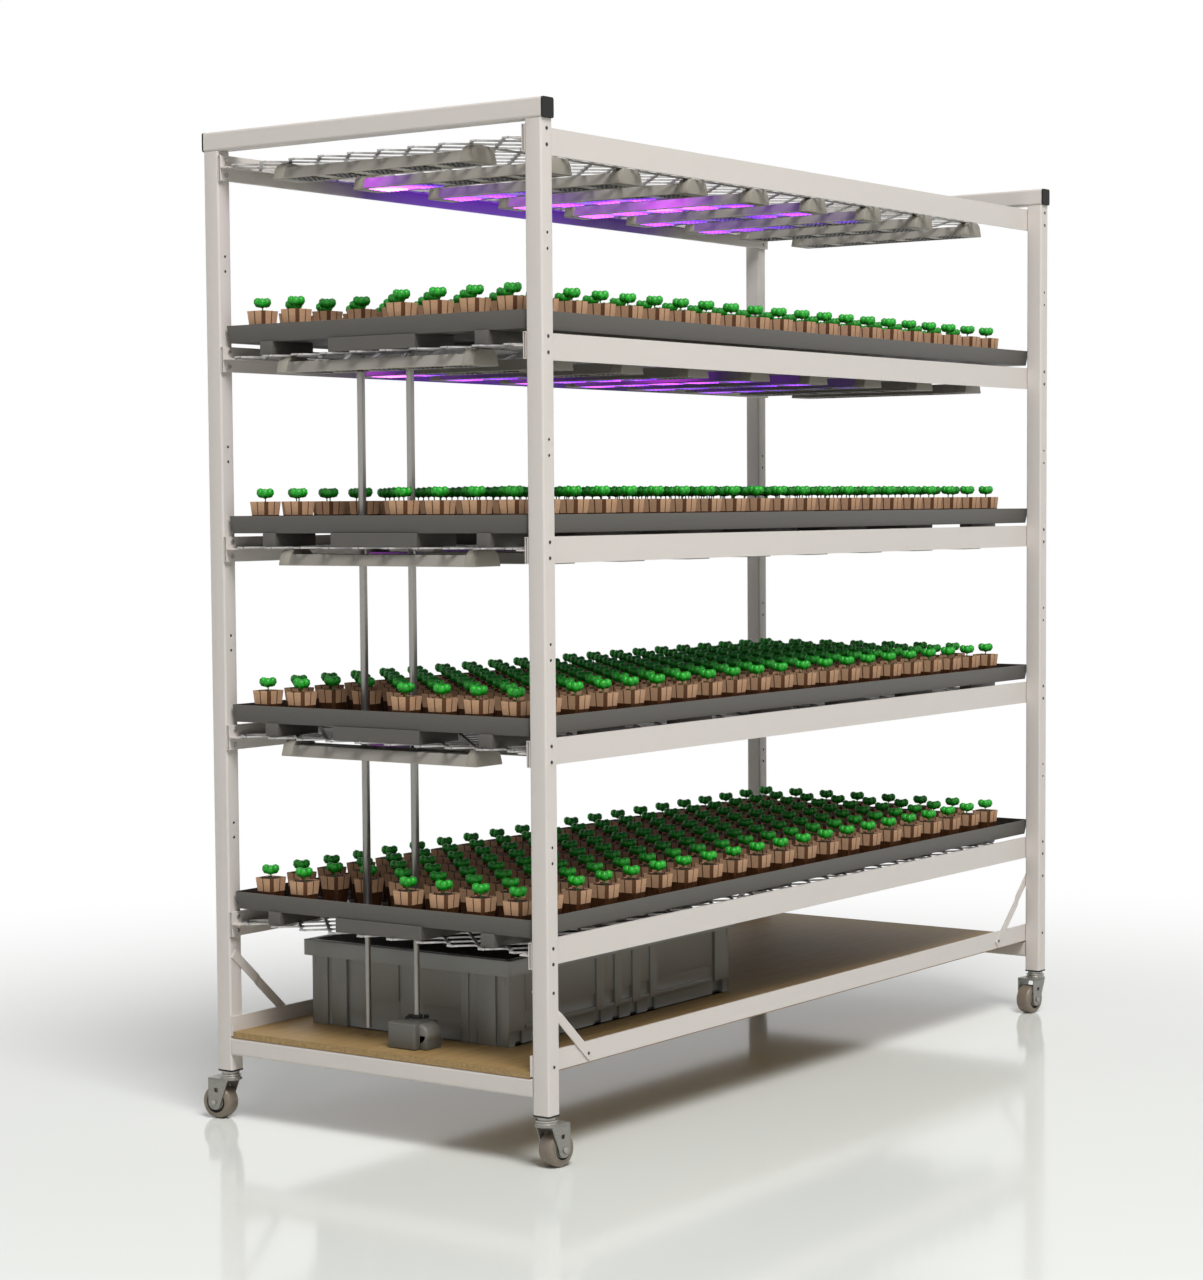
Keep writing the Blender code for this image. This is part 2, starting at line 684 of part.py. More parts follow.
def crop_mesh():
    """Columns of tapered pots with a ridge of seedlings, standing on a thin mat, its base at Z = 0."""
    half_base, half_top = POT_BASE_WIDTH / 2, POT_WIDTH / 2
    last = POT_FIRST_X + (POT_COLUMNS - 1) * POT_COLUMN_PITCH
    side = (POT_ROWS - 1) / 2 * POT_ROW_PITCH
    mat = bmesh.new()
    reach = half_base + MAT_MARGIN
    box(mat, (POT_FIRST_X - reach, -side - reach, 0.0), (last + reach, side + reach, MAT_THICKNESS))

    holes = bmesh.new()
    for offset in PIPE_OFFSETS.values():
        hole = round_outline(PIPE_RADIUS + PIPE_ROOM, PIPE_SIDES, (PIPE_X, offset))
        prism(holes, hole, "Z", -OVERRUN, MAT_THICKNESS + OVERRUN)

    columns = bmesh.new()
    stem, leaf = STEM_WIDTH / 2, SEEDLING_WIDTH / 2
    top = POT_HEIGHT + SEEDLING_HEIGHT
    leaf_bottom = POT_HEIGHT + STEM_HEIGHT
    pot_side = [(half_base, MAT_THICKNESS / 2), (half_top, POT_HEIGHT)]
    profile = both_sides(pot_side + [(stem, POT_HEIGHT), (leaf, leaf_bottom), (leaf, top)])
    for column in range(POT_COLUMNS):
        x = POT_FIRST_X + column * POT_COLUMN_PITCH
        runs = [(0, POT_ROWS - 1)]
        if column == 0:
            runs = [(0, FIRST_COLUMN_OPEN_ROWS[0] - 1), (FIRST_COLUMN_OPEN_ROWS[-1] + 1, POT_ROWS - 1)]
        for first, final in runs:
            start = -side + first * POT_ROW_PITCH - half_base
            end = -side + final * POT_ROW_PITCH + half_base
            prism(columns, [(x + across, height) for across, height in profile], "Y", start, end)
    return combine(
        "crop",
        mesh_of("crop_mat", mat),
        ("DIFFERENCE", mesh_of("crop_pipe_room", holes)),
        ("UNION", mesh_of("crop_columns", columns)),
    )


def build_shelves(metal, tray_material, light_material, crop_material):
    deck = deck_mesh()
    for tier in TIERS:
        place(f"mesh_deck_{tier + 1}", deck, metal, (0.0, 0.0, deck_bottom(tier)))

    tray = tray_mesh()
    crop = crop_mesh()
    for tier in PLANTED_TIERS:
        place(f"flood_tray_{tier + 1}", tray, tray_material, (0.0, 0.0, tray_foot(tier)))
        place(f"crop_{tier + 1}", crop, crop_material, (0.0, 0.0, tray_floor(tier) + FIT))

    bank = light_bank_mesh()
    for tier in LIT_TIERS:
        place(f"light_bank_{tier + 1}", bank, light_material, (0.0, 0.0, deck_bottom(tier) - FIT))


# Water


def tub_mesh():
    """An open ribbed tub with a deep rim, its base at Z = 0."""

    def ring(height, grow):
        share = height / TUB_HEIGHT
        spread = 2 * (grow + TUB_TAPER * (share - 1))
        return [(*point, height) for point in rectangle(TUB_LENGTH + spread, TUB_WIDTH + spread)]

    body = bmesh.new()
    loft(body, [ring(0.0, 0.0), ring(TUB_HEIGHT, 0.0)])

    rim = bmesh.new()
    loft(rim, [ring(TUB_HEIGHT - TUB_RIM_HEIGHT, TUB_RIM_PROUD), ring(TUB_HEIGHT, TUB_RIM_PROUD)])

    ribs = bmesh.new()
    top = TUB_HEIGHT - TUB_RIM_HEIGHT / 2
    half_x = TUB_LENGTH / 2 - TUB_TAPER
    half_y = TUB_WIDTH / 2 - TUB_TAPER
    out = TUB_RIB_PROUD
    for sx in (-1, 1):
        for sy in (-1, 1):
            far = (sx * (half_x + out), sy * (half_y + out))
            near = (sx * (half_x - TUB_CORNER_LENGTH), sy * (half_y - TUB_CORNER_DEPTH))
            low = (min(far[0], near[0]), min(far[1], near[1]), 0.0)
            high = (max(far[0], near[0]), max(far[1], near[1]), top)
            box(ribs, low, high)

    bars = bmesh.new()
    for share in TUB_LONG_RIB_SHARES:
        x = share * TUB_LENGTH
        low = (x - TUB_RIB_WIDTH / 2, -half_y - out, 0.0)
        high = (x + TUB_RIB_WIDTH / 2, half_y + out, top)
        box(bars, low, high)

    inside = bmesh.new()
    floor_ring = [(*point[:2], TUB_WALL) for point in ring(TUB_WALL, -TUB_WALL)]
    loft(inside, [floor_ring, ring(TUB_HEIGHT + OVERRUN, -TUB_WALL)])
    return combine(
        "reservoir_tub",
        mesh_of("tub_body", body),
        ("UNION", mesh_of("tub_rim", rim)),
        ("UNION", mesh_of("tub_corners", ribs)),
        ("UNION", mesh_of("tub_bars", bars)),
        ("DIFFERENCE", mesh_of("tub_inside", inside)),
    )


def pump_mesh():
    """The pump's housing with its motor and outlet, its base at Z = 0 under the housing's middle."""
    body = bmesh.new()
    prism(body, rounded_rectangle(PUMP_LENGTH, PUMP_WIDTH, PUMP_ROUNDING), "Z", 0.0, PUMP_HEIGHT)
    motor = bmesh.new()
    motor_height = MOTOR_RADIUS * math.cos(math.pi / PIPE_SIDES)
    middle = (-PUMP_WIDTH / 2 - MOTOR_OVERHANG + MOTOR_RADIUS, motor_height)
    outline = round_outline(MOTOR_RADIUS, PIPE_SIDES, middle, math.pi / PIPE_SIDES)
    prism(motor, outline, "X", -MOTOR_LENGTH / 2, MOTOR_LENGTH / 2)
    outlet = bmesh.new()
    spot = (PIPE_INSET - PUMP_INSET - PUMP_LENGTH / 2, SUPPLY_OFFSET - PUMP_OFFSET)
    ring = round_outline(OUTLET_RADIUS, PIPE_SIDES, spot)
    prism(outlet, ring, "Z", PUMP_HEIGHT / 2, PUMP_HEIGHT + OUTLET_HEIGHT)
    return combine(
        "pump",
        mesh_of("pump_body", body),
        ("UNION", mesh_of("pump_motor", motor)),
        ("UNION", mesh_of("pump_outlet", outlet)),
    )


def pipe_mesh(name, length):
    outer = bmesh.new()
    prism(outer, round_outline(PIPE_RADIUS, PIPE_SIDES), "Z", 0.0, length)
    bore = bmesh.new()
    prism(bore, round_outline(PIPE_RADIUS - PIPE_WALL, PIPE_SIDES), "Z", -OVERRUN, length + OVERRUN)
    mesh = combine(name, mesh_of(name + "_body", outer), ("DIFFERENCE", mesh_of(name + "_bore", bore)))
    shade_round(mesh)
    return mesh


def build_water(tub_material, pump_material, pipe_material):
    tub_x = -HALF_LENGTH + TUB_INSET + TUB_LENGTH / 2
    place("reservoir_tub", tub_mesh(), tub_material, (tub_x, TUB_OFFSET, BOARD_TOP + FIT))

    pump_x = -HALF_LENGTH + PUMP_INSET + PUMP_LENGTH / 2
    place("pump", pump_mesh(), pump_material, (pump_x, PUMP_OFFSET, BOARD_TOP + FIT))

    top = tray_floor(PLANTED_TIERS[0]) + PIPE_STAND
    starts = {
        "supply_pipe": BOARD_TOP + FIT + PUMP_HEIGHT + OUTLET_HEIGHT + FIT,
        "drain_pipe": BOARD_TOP + DRAIN_END_GAP,
    }
    for name, start in starts.items():
        place(name, pipe_mesh(name, top - start), pipe_material, (PIPE_X, PIPE_OFFSETS[name], start))


# Casters


def fork_mesh():
    """The swivelling fork: kingpin on the Z axis from the floor up, trailing towards +X."""
    back = FORK_TRAIL + FORK_LEG_RADIUS
    inner = HUB_WIDTH / 2 + FORK_SIDE_GAP
    outer = inner + FORK_CHEEK
    crown = bmesh.new()
    front = []
    for i in range(RACE_SIDES // 2 + 1):
        t = math.pi / 2 + 2 * math.pi * i / RACE_SIDES
        front.append((outer * math.cos(t), outer * math.sin(t)))
    prism(crown, front + [(back, -outer), (back, outer)], "Z", CROWN_BOTTOM, CROWN_TOP)

    cheeks = bmesh.new()
    arc = []
    for i in range(5):
        t = math.pi * i / 4
        across, drop = FORK_LEG_RADIUS * math.cos(t), FORK_LEG_RADIUS * math.sin(t)
        arc.append((FORK_TRAIL + across, AXLE_HEIGHT - drop))
    leg_top = CROWN_BOTTOM + CROWN_THICKNESS / 2
    shape = arc + [(-CHEEK_LEAD, leg_top), (back, leg_top)]
    prism(cheeks, shape, "Y", inner, outer)
    prism(cheeks, shape, "Y", -outer, -inner)

    race = bmesh.new()
    prism(race, round_outline(RACE_RADIUS, RACE_SIDES), "Z", CROWN_TOP - CROWN_THICKNESS / 2, RACE_TOP)
    kingpin = bmesh.new()
    prism(kingpin, round_outline(KINGPIN_RADIUS, PIPE_SIDES), "Z", CROWN_TOP, RACE_TOP + KINGPIN_LENGTH)

    hole = bmesh.new()
    bore = round_outline(AXLE_RADIUS + SWIVEL_CLEARANCE, PIPE_SIDES, (FORK_TRAIL, AXLE_HEIGHT))
    prism(hole, bore, "Y", -outer - OVERRUN, outer + OVERRUN)
    return combine(
        "caster_fork",
        mesh_of("fork_crown", crown),
        ("UNION", mesh_of("fork_cheeks", cheeks)),
        ("UNION", mesh_of("fork_race", race)),
        ("UNION", mesh_of("fork_kingpin", kingpin)),
        ("DIFFERENCE", mesh_of("fork_axle_hole", hole)),
    )


def wheel_mesh():
    """The wheel turned about the Y axis, with its axle bolt and both heads."""
    head_in = HUB_WIDTH / 2 + FORK_SIDE_GAP + FORK_CHEEK + FIT
    head_out = head_in + AXLE_HEAD_THICKNESS
    half = WHEEL_WIDTH / 2
    right = [
        (half - WHEEL_EDGE, WHEEL_RADIUS),
        (half, WHEEL_RADIUS - WHEEL_EDGE),
        (HUB_WIDTH / 2, AXLE_RADIUS),
        (head_in, AXLE_RADIUS),
        (head_in, AXLE_HEAD_RADIUS),
        (head_out, AXLE_HEAD_RADIUS),
    ]
    left = [(-y, radius) for y, radius in reversed(right)]
    rings = []
    for y, radius in left + right:
        turn = math.pi / WHEEL_SIDES - math.pi / 2
        outline = round_outline(radius, WHEEL_SIDES, turn=turn)
        rings.append([(x, y, z) for x, z in outline])
    bm = bmesh.new()
    loft(bm, rings)
    mesh = mesh_of("caster_wheel", bm)
    shade_round(mesh)
    return mesh


def build_casters(fork_material, wheel_material):
    fork = fork_mesh()
    wheel = wheel_mesh()
    for side, sy in (("front", -1), ("back", 1)):
        for end, sx in (("left", -1), ("right", 1)):
            corner = f"{side}_{end}"
            spot = (sx * (HALF_LENGTH - TUBE_WIDTH / 2), sy * (HALF_DEPTH - TUBE_DEPTH / 2), 0.0)
            angle = math.radians(TRAIL_ANGLES[corner])
            swivel = place(f"caster_fork_{corner}", fork, fork_material, spot, angle)
            hub = (FORK_TRAIL, 0.0, AXLE_HEIGHT)
            place(f"caster_wheel_{corner}", wheel, wheel_material, hub, parent=swivel)


def centre_footprint():
    """Moves the bench so that the middle of its footprint, casters and all, is over the origin."""
    bpy.context.view_layer.update()
    places = [obj.matrix_world @ v.co for obj in bpy.data.objects for v in obj.data.vertices]
    middle_x = (min(place.x for place in places) + max(place.x for place in places)) / 2
    middle_y = (min(place.y for place in places) + max(place.y for place in places)) / 2
    for obj in bpy.data.objects:
        if obj.parent is None:
            obj.location.x -= middle_x
            obj.location.y -= middle_y


def main():
    clear_scene()
    frame_paint = paint("frame_paint", (0.62, 0.57, 0.53), 0.45)
    black = paint("black_plastic", (0.017, 0.017, 0.015), 0.5)
    mesh_metal = paint("mesh_metal", (0.42, 0.39, 0.40), 0.4, 0.6)
    tray_plastic = paint("tray_plastic", (0.12, 0.11, 0.096), 0.45)
    light_metal = paint("light_metal", (0.32, 0.30, 0.26), 0.35, 0.5)
    peat = paint("peat_and_leaf", (0.30, 0.17, 0.07), 0.9)
    plywood = paint("plywood", (0.45, 0.29, 0.13), 0.6)
    tub_plastic = paint("tub_plastic", (0.11, 0.10, 0.092), 0.4)
    pump_plastic = paint("pump_plastic", (0.08, 0.08, 0.078), 0.5)
    pipe_metal = paint("pipe_metal", (0.25, 0.25, 0.25), 0.35, 0.5)
    zinc = paint("zinc_plate", (0.21, 0.21, 0.20), 0.4, 0.8)
    tyre = paint("wheel_rubber", (0.19, 0.155, 0.125), 0.45)
    build_frame(frame_paint, black)
    build_bottom_deck(frame_paint, plywood)
    build_shelves(mesh_metal, tray_plastic, light_metal, peat)
    build_water(tub_plastic, pump_plastic, pipe_metal)
    build_casters(zinc, tyre)
    centre_footprint()


main()
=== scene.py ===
"""Rolling grow bench: the looks of its posts, decks, trays, lights, crop, water gear and casters."""

import math

import bmesh
import bpy
from mathutils import Matrix, Vector


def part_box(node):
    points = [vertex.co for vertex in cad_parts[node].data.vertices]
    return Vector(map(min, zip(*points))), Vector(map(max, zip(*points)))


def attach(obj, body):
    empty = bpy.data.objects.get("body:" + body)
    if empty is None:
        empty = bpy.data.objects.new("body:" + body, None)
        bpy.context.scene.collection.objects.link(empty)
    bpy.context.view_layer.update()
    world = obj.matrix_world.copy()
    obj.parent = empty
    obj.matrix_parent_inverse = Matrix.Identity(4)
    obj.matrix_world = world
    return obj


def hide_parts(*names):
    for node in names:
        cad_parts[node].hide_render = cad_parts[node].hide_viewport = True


bl_info = {
    "name": "Rolling Grow Bench",
    "version": (1, 0, 0),
    "blender": (4, 5, 0),
    "location": "3D View > Sidebar > Grow Bench",
    "description": "Builds the finished pieces of a rolling grow bench around its frame",
    "category": "Object",
}

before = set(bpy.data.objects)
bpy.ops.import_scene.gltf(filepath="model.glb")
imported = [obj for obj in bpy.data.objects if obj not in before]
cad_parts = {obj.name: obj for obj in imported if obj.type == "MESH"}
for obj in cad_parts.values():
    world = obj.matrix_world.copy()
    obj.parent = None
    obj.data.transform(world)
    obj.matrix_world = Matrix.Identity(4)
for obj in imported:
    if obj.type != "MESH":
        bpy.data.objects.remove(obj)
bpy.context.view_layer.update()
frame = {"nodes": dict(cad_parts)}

# Places that the frame gives
RAIL_LOW, RAIL_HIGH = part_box("top_rail_left")
POST_LOW, POST_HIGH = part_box("post_front_left")
DECK_LOW, DECK_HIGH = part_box("mesh_deck_1")
LOWEST_DECK_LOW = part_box("mesh_deck_5")[0]
TRAY_LOW, TRAY_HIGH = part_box("flood_tray_2")
BANK_LOW, BANK_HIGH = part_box("light_bank_1")
CROP_LOW, CROP_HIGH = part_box("crop_2")
TUB_LOW, TUB_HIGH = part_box("reservoir_tub")
PUMP_LOW, PUMP_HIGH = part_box("pump")
WHEEL_LOW, WHEEL_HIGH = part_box("caster_wheel_front_left")
BRACE_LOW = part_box("brace_front_left")[0]
DECK_RAIL_LOW, DECK_RAIL_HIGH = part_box("deck_rail_front")
PIPES = ("supply_pipe", "drain_pipe")

TUBE_WIDTH = RAIL_HIGH.x - RAIL_LOW.x
TUBE_DEPTH = RAIL_HIGH.z - RAIL_LOW.z
FRAME_MIDDLE = (RAIL_LOW.y + RAIL_HIGH.y) / 2
HALF_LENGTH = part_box("shelf_rail_front_1")[1].x
HALF_DEPTH = RAIL_HIGH.y - FRAME_MIDDLE
POST_X = HALF_LENGTH - TUBE_WIDTH / 2
POST_Y = HALF_DEPTH - TUBE_DEPTH / 2
POST_TOP = POST_HIGH.z
PLATE_BOTTOM = POST_LOW.z
HOLE_PITCH = (DECK_LOW.z - LOWEST_DECK_LOW.z) / 8
CORNERS = (("front_left", -1, -1), ("front_right", 1, -1), ("back_left", -1, 1), ("back_right", 1, 1))
TIERS = range(1, 6)
PLANTED = range(2, 6)
LIT = range(1, 5)

# Sizes of small parts in metres, screws and nuts by radius and height
MM = 0.001
TIGHT = 0.0002
PLATE_THICKNESS = 0.007
PLATE_RADIUS = 0.0213
PLATE_RIM, PLATE_DISH, PLATE_ROUND = 0.004, 0.0012, 0.0012
FLANGE_THICKNESS = 0.0042
FLANGE_LIP = 0.0006
SOCKET_BOTTOM = PLATE_BOTTOM + PLATE_THICKNESS
POST_BOTTOM = SOCKET_BOTTOM + FLANGE_THICKNESS
TUBE_WALL = 0.0025
SOCKET_DEPTH = 0.030
HOLE_DROP = 0.022
HOLE_PAIR_GAP = 0.0358
HOLE_PAIRS = 9
RAIL_WEB_DEPTH = 0.0083
RAIL_SCREW, DECK_SCREW, RAIL_NUT = (0.0042, 0.0014), (0.0038, 0.0013), (0.0055, 0.0035)
BRACE_TOP, BRACE_FOOT, BRACE_FOOT_X = 0.4034, 0.2312, 1.0203


def tint(code):
    """An sRGB hex colour as linear red, green and blue."""

    def linear(part):
        share = int(part, 16) / 255
        return share / 12.92 if share <= 0.04045 else ((share + 0.055) / 1.055) ** 2.4

    return tuple(linear(code[i : i + 2]) for i in (0, 2, 4))


# Shaping by hand


def select_nothing():
    bpy.ops.object.select_all(action="DESELECT")


def only(*pieces):
    """Selects these pieces alone, the last one active."""
    select_nothing()
    for piece in pieces:
        piece.select_set(True)
    bpy.context.view_layer.objects.active = pieces[-1]


def settle(name):
    """Names the new shape and puts its place into its mesh."""
    piece = bpy.context.active_object
    piece.name = piece.data.name = name
    bpy.ops.object.transform_apply(location=True, rotation=True, scale=True)
    return piece


def block(name, low, high):
    """A box between two corners, to be shaped further."""
    low, high = Vector(low), Vector(high)
    select_nothing()
    bpy.ops.mesh.primitive_cube_add(size=1.0, location=(low + high) / 2, scale=high - low)
    return settle(name)


def rod(name, centre, radius, length, axis="Z", sides=32):
    """A round bar along an axis, to be shaped further."""
    turn = {"X": (0, math.pi / 2, 0), "Y": (math.pi / 2, 0, 0), "Z": (0, 0, 0)}[axis]
    select_nothing()
    bpy.ops.mesh.primitive_cylinder_add(
        vertices=sides, radius=radius, depth=length, location=centre, rotation=turn)
    return settle(name)


def edit(piece):
    only(piece)
    bpy.ops.object.mode_set(mode="EDIT")
    bpy.ops.mesh.select_mode(type="FACE")
    bpy.ops.mesh.select_all(action="DESELECT")


def done():
    bpy.ops.object.mode_set(mode="OBJECT")


def pick(piece, kind, find):
    """Selects the faces or edges that are found in the shape being edited."""
    bpy.ops.mesh.select_mode(type=kind)
    bpy.ops.mesh.select_all(action="DESELECT")
    shape = bmesh.from_edit_mesh(piece.data)
    found = find(shape)
    for part in found:
        part.select_set(True)
    shape.select_flush_mode()
    bmesh.update_edit_mesh(piece.data)
    if not found:
        raise RuntimeError(f"{piece.name}: no {kind.lower()} is there to shape")


def pick_faces(piece, test):
    """Selects the faces whose middle and normal pass the test."""
    pick(piece, "FACE", lambda shape: [
        face for face in shape.faces if test(face.calc_center_median(), face.normal)])


def pick_edges(piece, test):
    """Selects the edges whose two ends pass the test."""
    pick(piece, "EDGE", lambda shape: [
        edge for edge in shape.edges if test(edge.verts[0].co, edge.verts[1].co)])


def upright(a, b):
    """Whether an edge runs mainly up and down."""
    return abs(a.z - b.z) > 2 * math.hypot(a.x - b.x, a.y - b.y)


def upward(c, n):
    """Whether a face looks up."""
    return n.z > 0.9


def downward(c, n):
    """Whether a face looks down."""
    return n.z < -0.9


def scale_picked(x=1.0, y=1.0, z=1.0, about=(0.0, 0.0, 0.0)):
    bpy.ops.transform.resize(value=(x, y, z), center_override=about)


def extrude(x=0.0, y=0.0, z=0.0):
    bpy.ops.mesh.extrude_region_move(TRANSFORM_OT_translate={"value": (x, y, z)})


def bevel(by, segments):
    bpy.ops.mesh.bevel(offset=by, segments=segments, affect="EDGES")


def inset(by):
    bpy.ops.mesh.inset(thickness=by)


def swell(by):
    """Extrudes what is picked along its own normals."""
    settings = {"value": by, "use_even_offset": True}
    bpy.ops.mesh.extrude_region_shrink_fatten(TRANSFORM_OT_shrink_fatten=settings)


def dish(piece, test, rim, x=0.0, y=0.0, z=0.0):
    """Insets the faces found by a rim and sinks or raises what is inside it."""
    pick_faces(piece, test)
    inset(rim)
    extrude(x, y, z)


def slice_at(axis, *places, clear=False):
    """Cuts what is edited across an axis at each place, and clears what lies beyond if asked."""
    for place in places:
        bpy.ops.mesh.select_all(action="SELECT")
        point = [place if axis[-1] == name else 0.0 for name in "XYZ"]
        way = -1.0 if axis[0] == "-" else 1.0
        normal = [way if axis[-1] == name else 0.0 for name in "XYZ"]
        bpy.ops.mesh.bisect(plane_co=point, plane_no=normal, clear_outer=clear)


def carve(piece, side, depth_at):
    """Sinks the faces of one side step by step, each as deep as its place asks."""
    side = Vector(side)
    shape = bmesh.from_edit_mesh(piece.data)
    middles = [face.calc_center_median() for face in shape.faces if face.normal.dot(side) > 0.9]
    sunk = 0.0
    for depth in sorted({depth_at(middle) for middle in middles}):
        if depth > 0:
            pick_faces(piece, lambda c, n: n.dot(side) > 0.9 and depth_at(c) >= depth)
            extrude(*(side * (sunk - depth)))
            sunk = depth


def step(piece, kind, **settings):
    """Adds one modifier with its settings and applies it."""
    only(piece)
    added = piece.modifiers.new(kind.title(), kind)
    for key, value in settings.items():
        setattr(added, key, value)
    bpy.ops.object.modifier_apply(modifier=added.name)


def soften(piece, width, segments=2, angle=35):
    """Rounds every edge that is sharper than an angle."""
    limit = math.radians(angle)
    step(piece, "BEVEL", width=width, segments=segments, limit_method="ANGLE", angle_limit=limit)


def repeat(piece, count, x=0.0, y=0.0, z=0.0):
    step(piece, "ARRAY", count=count, use_relative_offset=False, use_constant_offset=True,
         constant_offset_displace=(x, y, z))


def cut(piece, cutter):
    step(piece, "BOOLEAN", operation="DIFFERENCE", solver="EXACT", object=cutter)
    bpy.data.objects.remove(cutter)


def shift(piece, x=0.0, y=0.0, z=0.0):
    """Moves a whole piece, place in its mesh."""
    only(piece)
    piece.location = (x, y, z)
    bpy.ops.object.transform_apply(location=True, rotation=True, scale=True)


def copy_of(piece, name, move=(0.0, 0.0, 0.0), turn=0.0):
    """A copy with its own mesh, turned about the upright axis and then moved."""
    only(piece)
    bpy.ops.object.duplicate(linked=False)
    twin = bpy.context.active_object
    twin.name = twin.data.name = name
    twin.rotation_euler = (0.0, 0.0, turn)
    twin.location = move
    bpy.ops.object.transform_apply(location=True, rotation=True, scale=True)
    return twin


def join(name, *pieces):
    only(*pieces)
    if len(pieces) > 1:
        bpy.ops.object.join()
    made = bpy.context.active_object
    made.name = made.data.name = name
    return made


def remove(*pieces):
    for piece in pieces:
        bpy.data.objects.remove(piece)


def coat(piece, name):
    """Gives a piece one finish all over."""
    piece.data.materials.clear()
    piece.data.materials.append(fit(name))
    return piece


def round_off(piece, name, width, segments=2):
    """Rounds the sharp edges of a piece and gives it one finish all over."""
    soften(piece, width, segments)
    return coat(piece, name)


def coat_faces(piece, name, test):
    """Gives the faces that pass the test a further finish."""
    piece.data.materials.append(fit(name))
    index = len(piece.data.materials) - 1
    for face in piece.data.polygons:
        if test(face.center, face.normal):
            face.material_index = index


def hand_over(piece, nodes=(), smooth=35, body="bench"):
    """Shades a finished piece, ties it to its body and hides the nodes that it stands for."""
    only(piece)
    bpy.ops.object.shade_smooth_by_angle(angle=math.radians(smooth))
    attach(piece, body)
    if nodes:
        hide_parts(*nodes)


def pipe_drills(length, room):
    """Two cutters where the pipes pass through a deck at Z = 0, in the bench's own middle."""
    drills = []
    for name in PIPES:
        low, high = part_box(name)
        spot = (low + high) / 2
        place = (spot.x, spot.y - FRAME_MIDDLE, 0.0)
        drills.append(rod("drill", place, (high.x - low.x) / 2 + room, length, "Z", 32))
    return join("drills", *drills)


# Finishes


def add(tree, kind, inputs=None, **settings):
    """Adds a node with its settings, and fills each input with a value or another node's output."""
    node = tree.nodes.new(kind)
    for key, value in settings.items():
        setattr(node, key, value)
    for socket, value in (inputs or {}).items():
        if isinstance(value, bpy.types.NodeSocket):
            tree.links.new(value, node.inputs[socket])
        else:
            node.inputs[socket].default_value = value
    return node


def blank(name):
    """A new material with its node tree and its shader."""
    made = bpy.data.materials.new(name)
    made.use_nodes = True
    return made, made.node_tree, made.node_tree.nodes["Principled BSDF"]


def finish(name, colour, roughness, grain_mm, contrast=0.05, relief_mm=0.0, metallic=0.0,
           stretch=(1, 1, 1), other=None):
    """A finish whose colour, gloss and surface all vary with one grain of a real size."""
    made, tree, shader = blank(name)
    place = add(tree, "ShaderNodeTexCoord").outputs["Object"]
    laid = add(tree, "ShaderNodeMapping", {"Vector": place, "Scale": stretch}).outputs["Vector"]
    grain = add(tree, "ShaderNodeTexNoise", {"Vector": laid, "Scale": 1 / (grain_mm * MM), "Detail": 3.0})
    dark = tuple(part * (1 - contrast) for part in colour) if other is None else other
    light = tuple(min(1.0, part * (1 + contrast)) for part in colour) if other is None else colour
    middle_tones = {"Value": grain.outputs["Fac"], "From Min": 0.3, "From Max": 0.7}
    spread = add(tree, "ShaderNodeMapRange", middle_tones)
    ends = {0: spread.outputs["Result"], 6: (*dark, 1), 7: (*light, 1)}
    mixed = add(tree, "ShaderNodeMix", ends, data_type="RGBA")
    tree.links.new(mixed.outputs[2], shader.inputs["Base Color"])
    low, high = roughness
    gloss = add(tree, "ShaderNodeMapRange", {"Value": grain.outputs["Fac"], "To Min": low, "To Max": high})
    tree.links.new(gloss.outputs["Result"], shader.inputs["Roughness"])
    shader.inputs["Metallic"].default_value = metallic
    if relief_mm:
        relief = {"Height": grain.outputs["Fac"], "Distance": relief_mm * MM, "Strength": 1.0}
        tree.links.new(add(tree, "ShaderNodeBump", relief).outputs["Normal"], shader.inputs["Normal"])
    return made


def layer_edges(made, ply_mm, other, share):
    """Draws a board's plies, which run level and so show on its edges only."""
    tree = made.node_tree
    shader = tree.nodes["Principled BSDF"]
    under = shader.inputs["Base Color"].links[0].from_socket
    place = add(tree, "ShaderNodeTexCoord").outputs["Object"]
    rings_a_turn = 20
    scale = 2 * math.pi / (rings_a_turn * 2 * ply_mm * MM)
    bands = add(tree, "ShaderNodeTexWave", {"Vector": place, "Scale": scale}, bands_direction="Z")
    amount = add(tree, "ShaderNodeMath", {0: bands.outputs["Fac"], 1: share}, operation="MULTIPLY")
    ends = {0: amount.outputs["Value"], 6: under, 7: (*other, 1)}
    mixed = add(tree, "ShaderNodeMix", ends, data_type="RGBA")
    tree.links.new(mixed.outputs[2], shader.inputs["Base Color"])
    return made


# Lit places of the lamps, from the middle of the footprint: X, Y, how far each reaches, and its share
LIT_SPOTS = (
    (-0.826, 0.244, 0.22, 1.0), (-0.133, -0.062, 0.22, 1.0), (-0.450, 0.300, 0.45, 0.35),
    (-0.020, 0.300, 0.50, 0.35), (0.115, -0.200, 0.22, 0.35), (0.397, -0.230, 0.24, 0.25),
    (0.480, 0.240, 0.40, 0.20),
)
DIM_HEIGHT, BRIGHT_HEIGHT, DIM_SHARE = 1.30, 2.20, 0.15
# Share of a lit place at which the painted shade of housings and rails is full
FULL_SHADE = 0.10


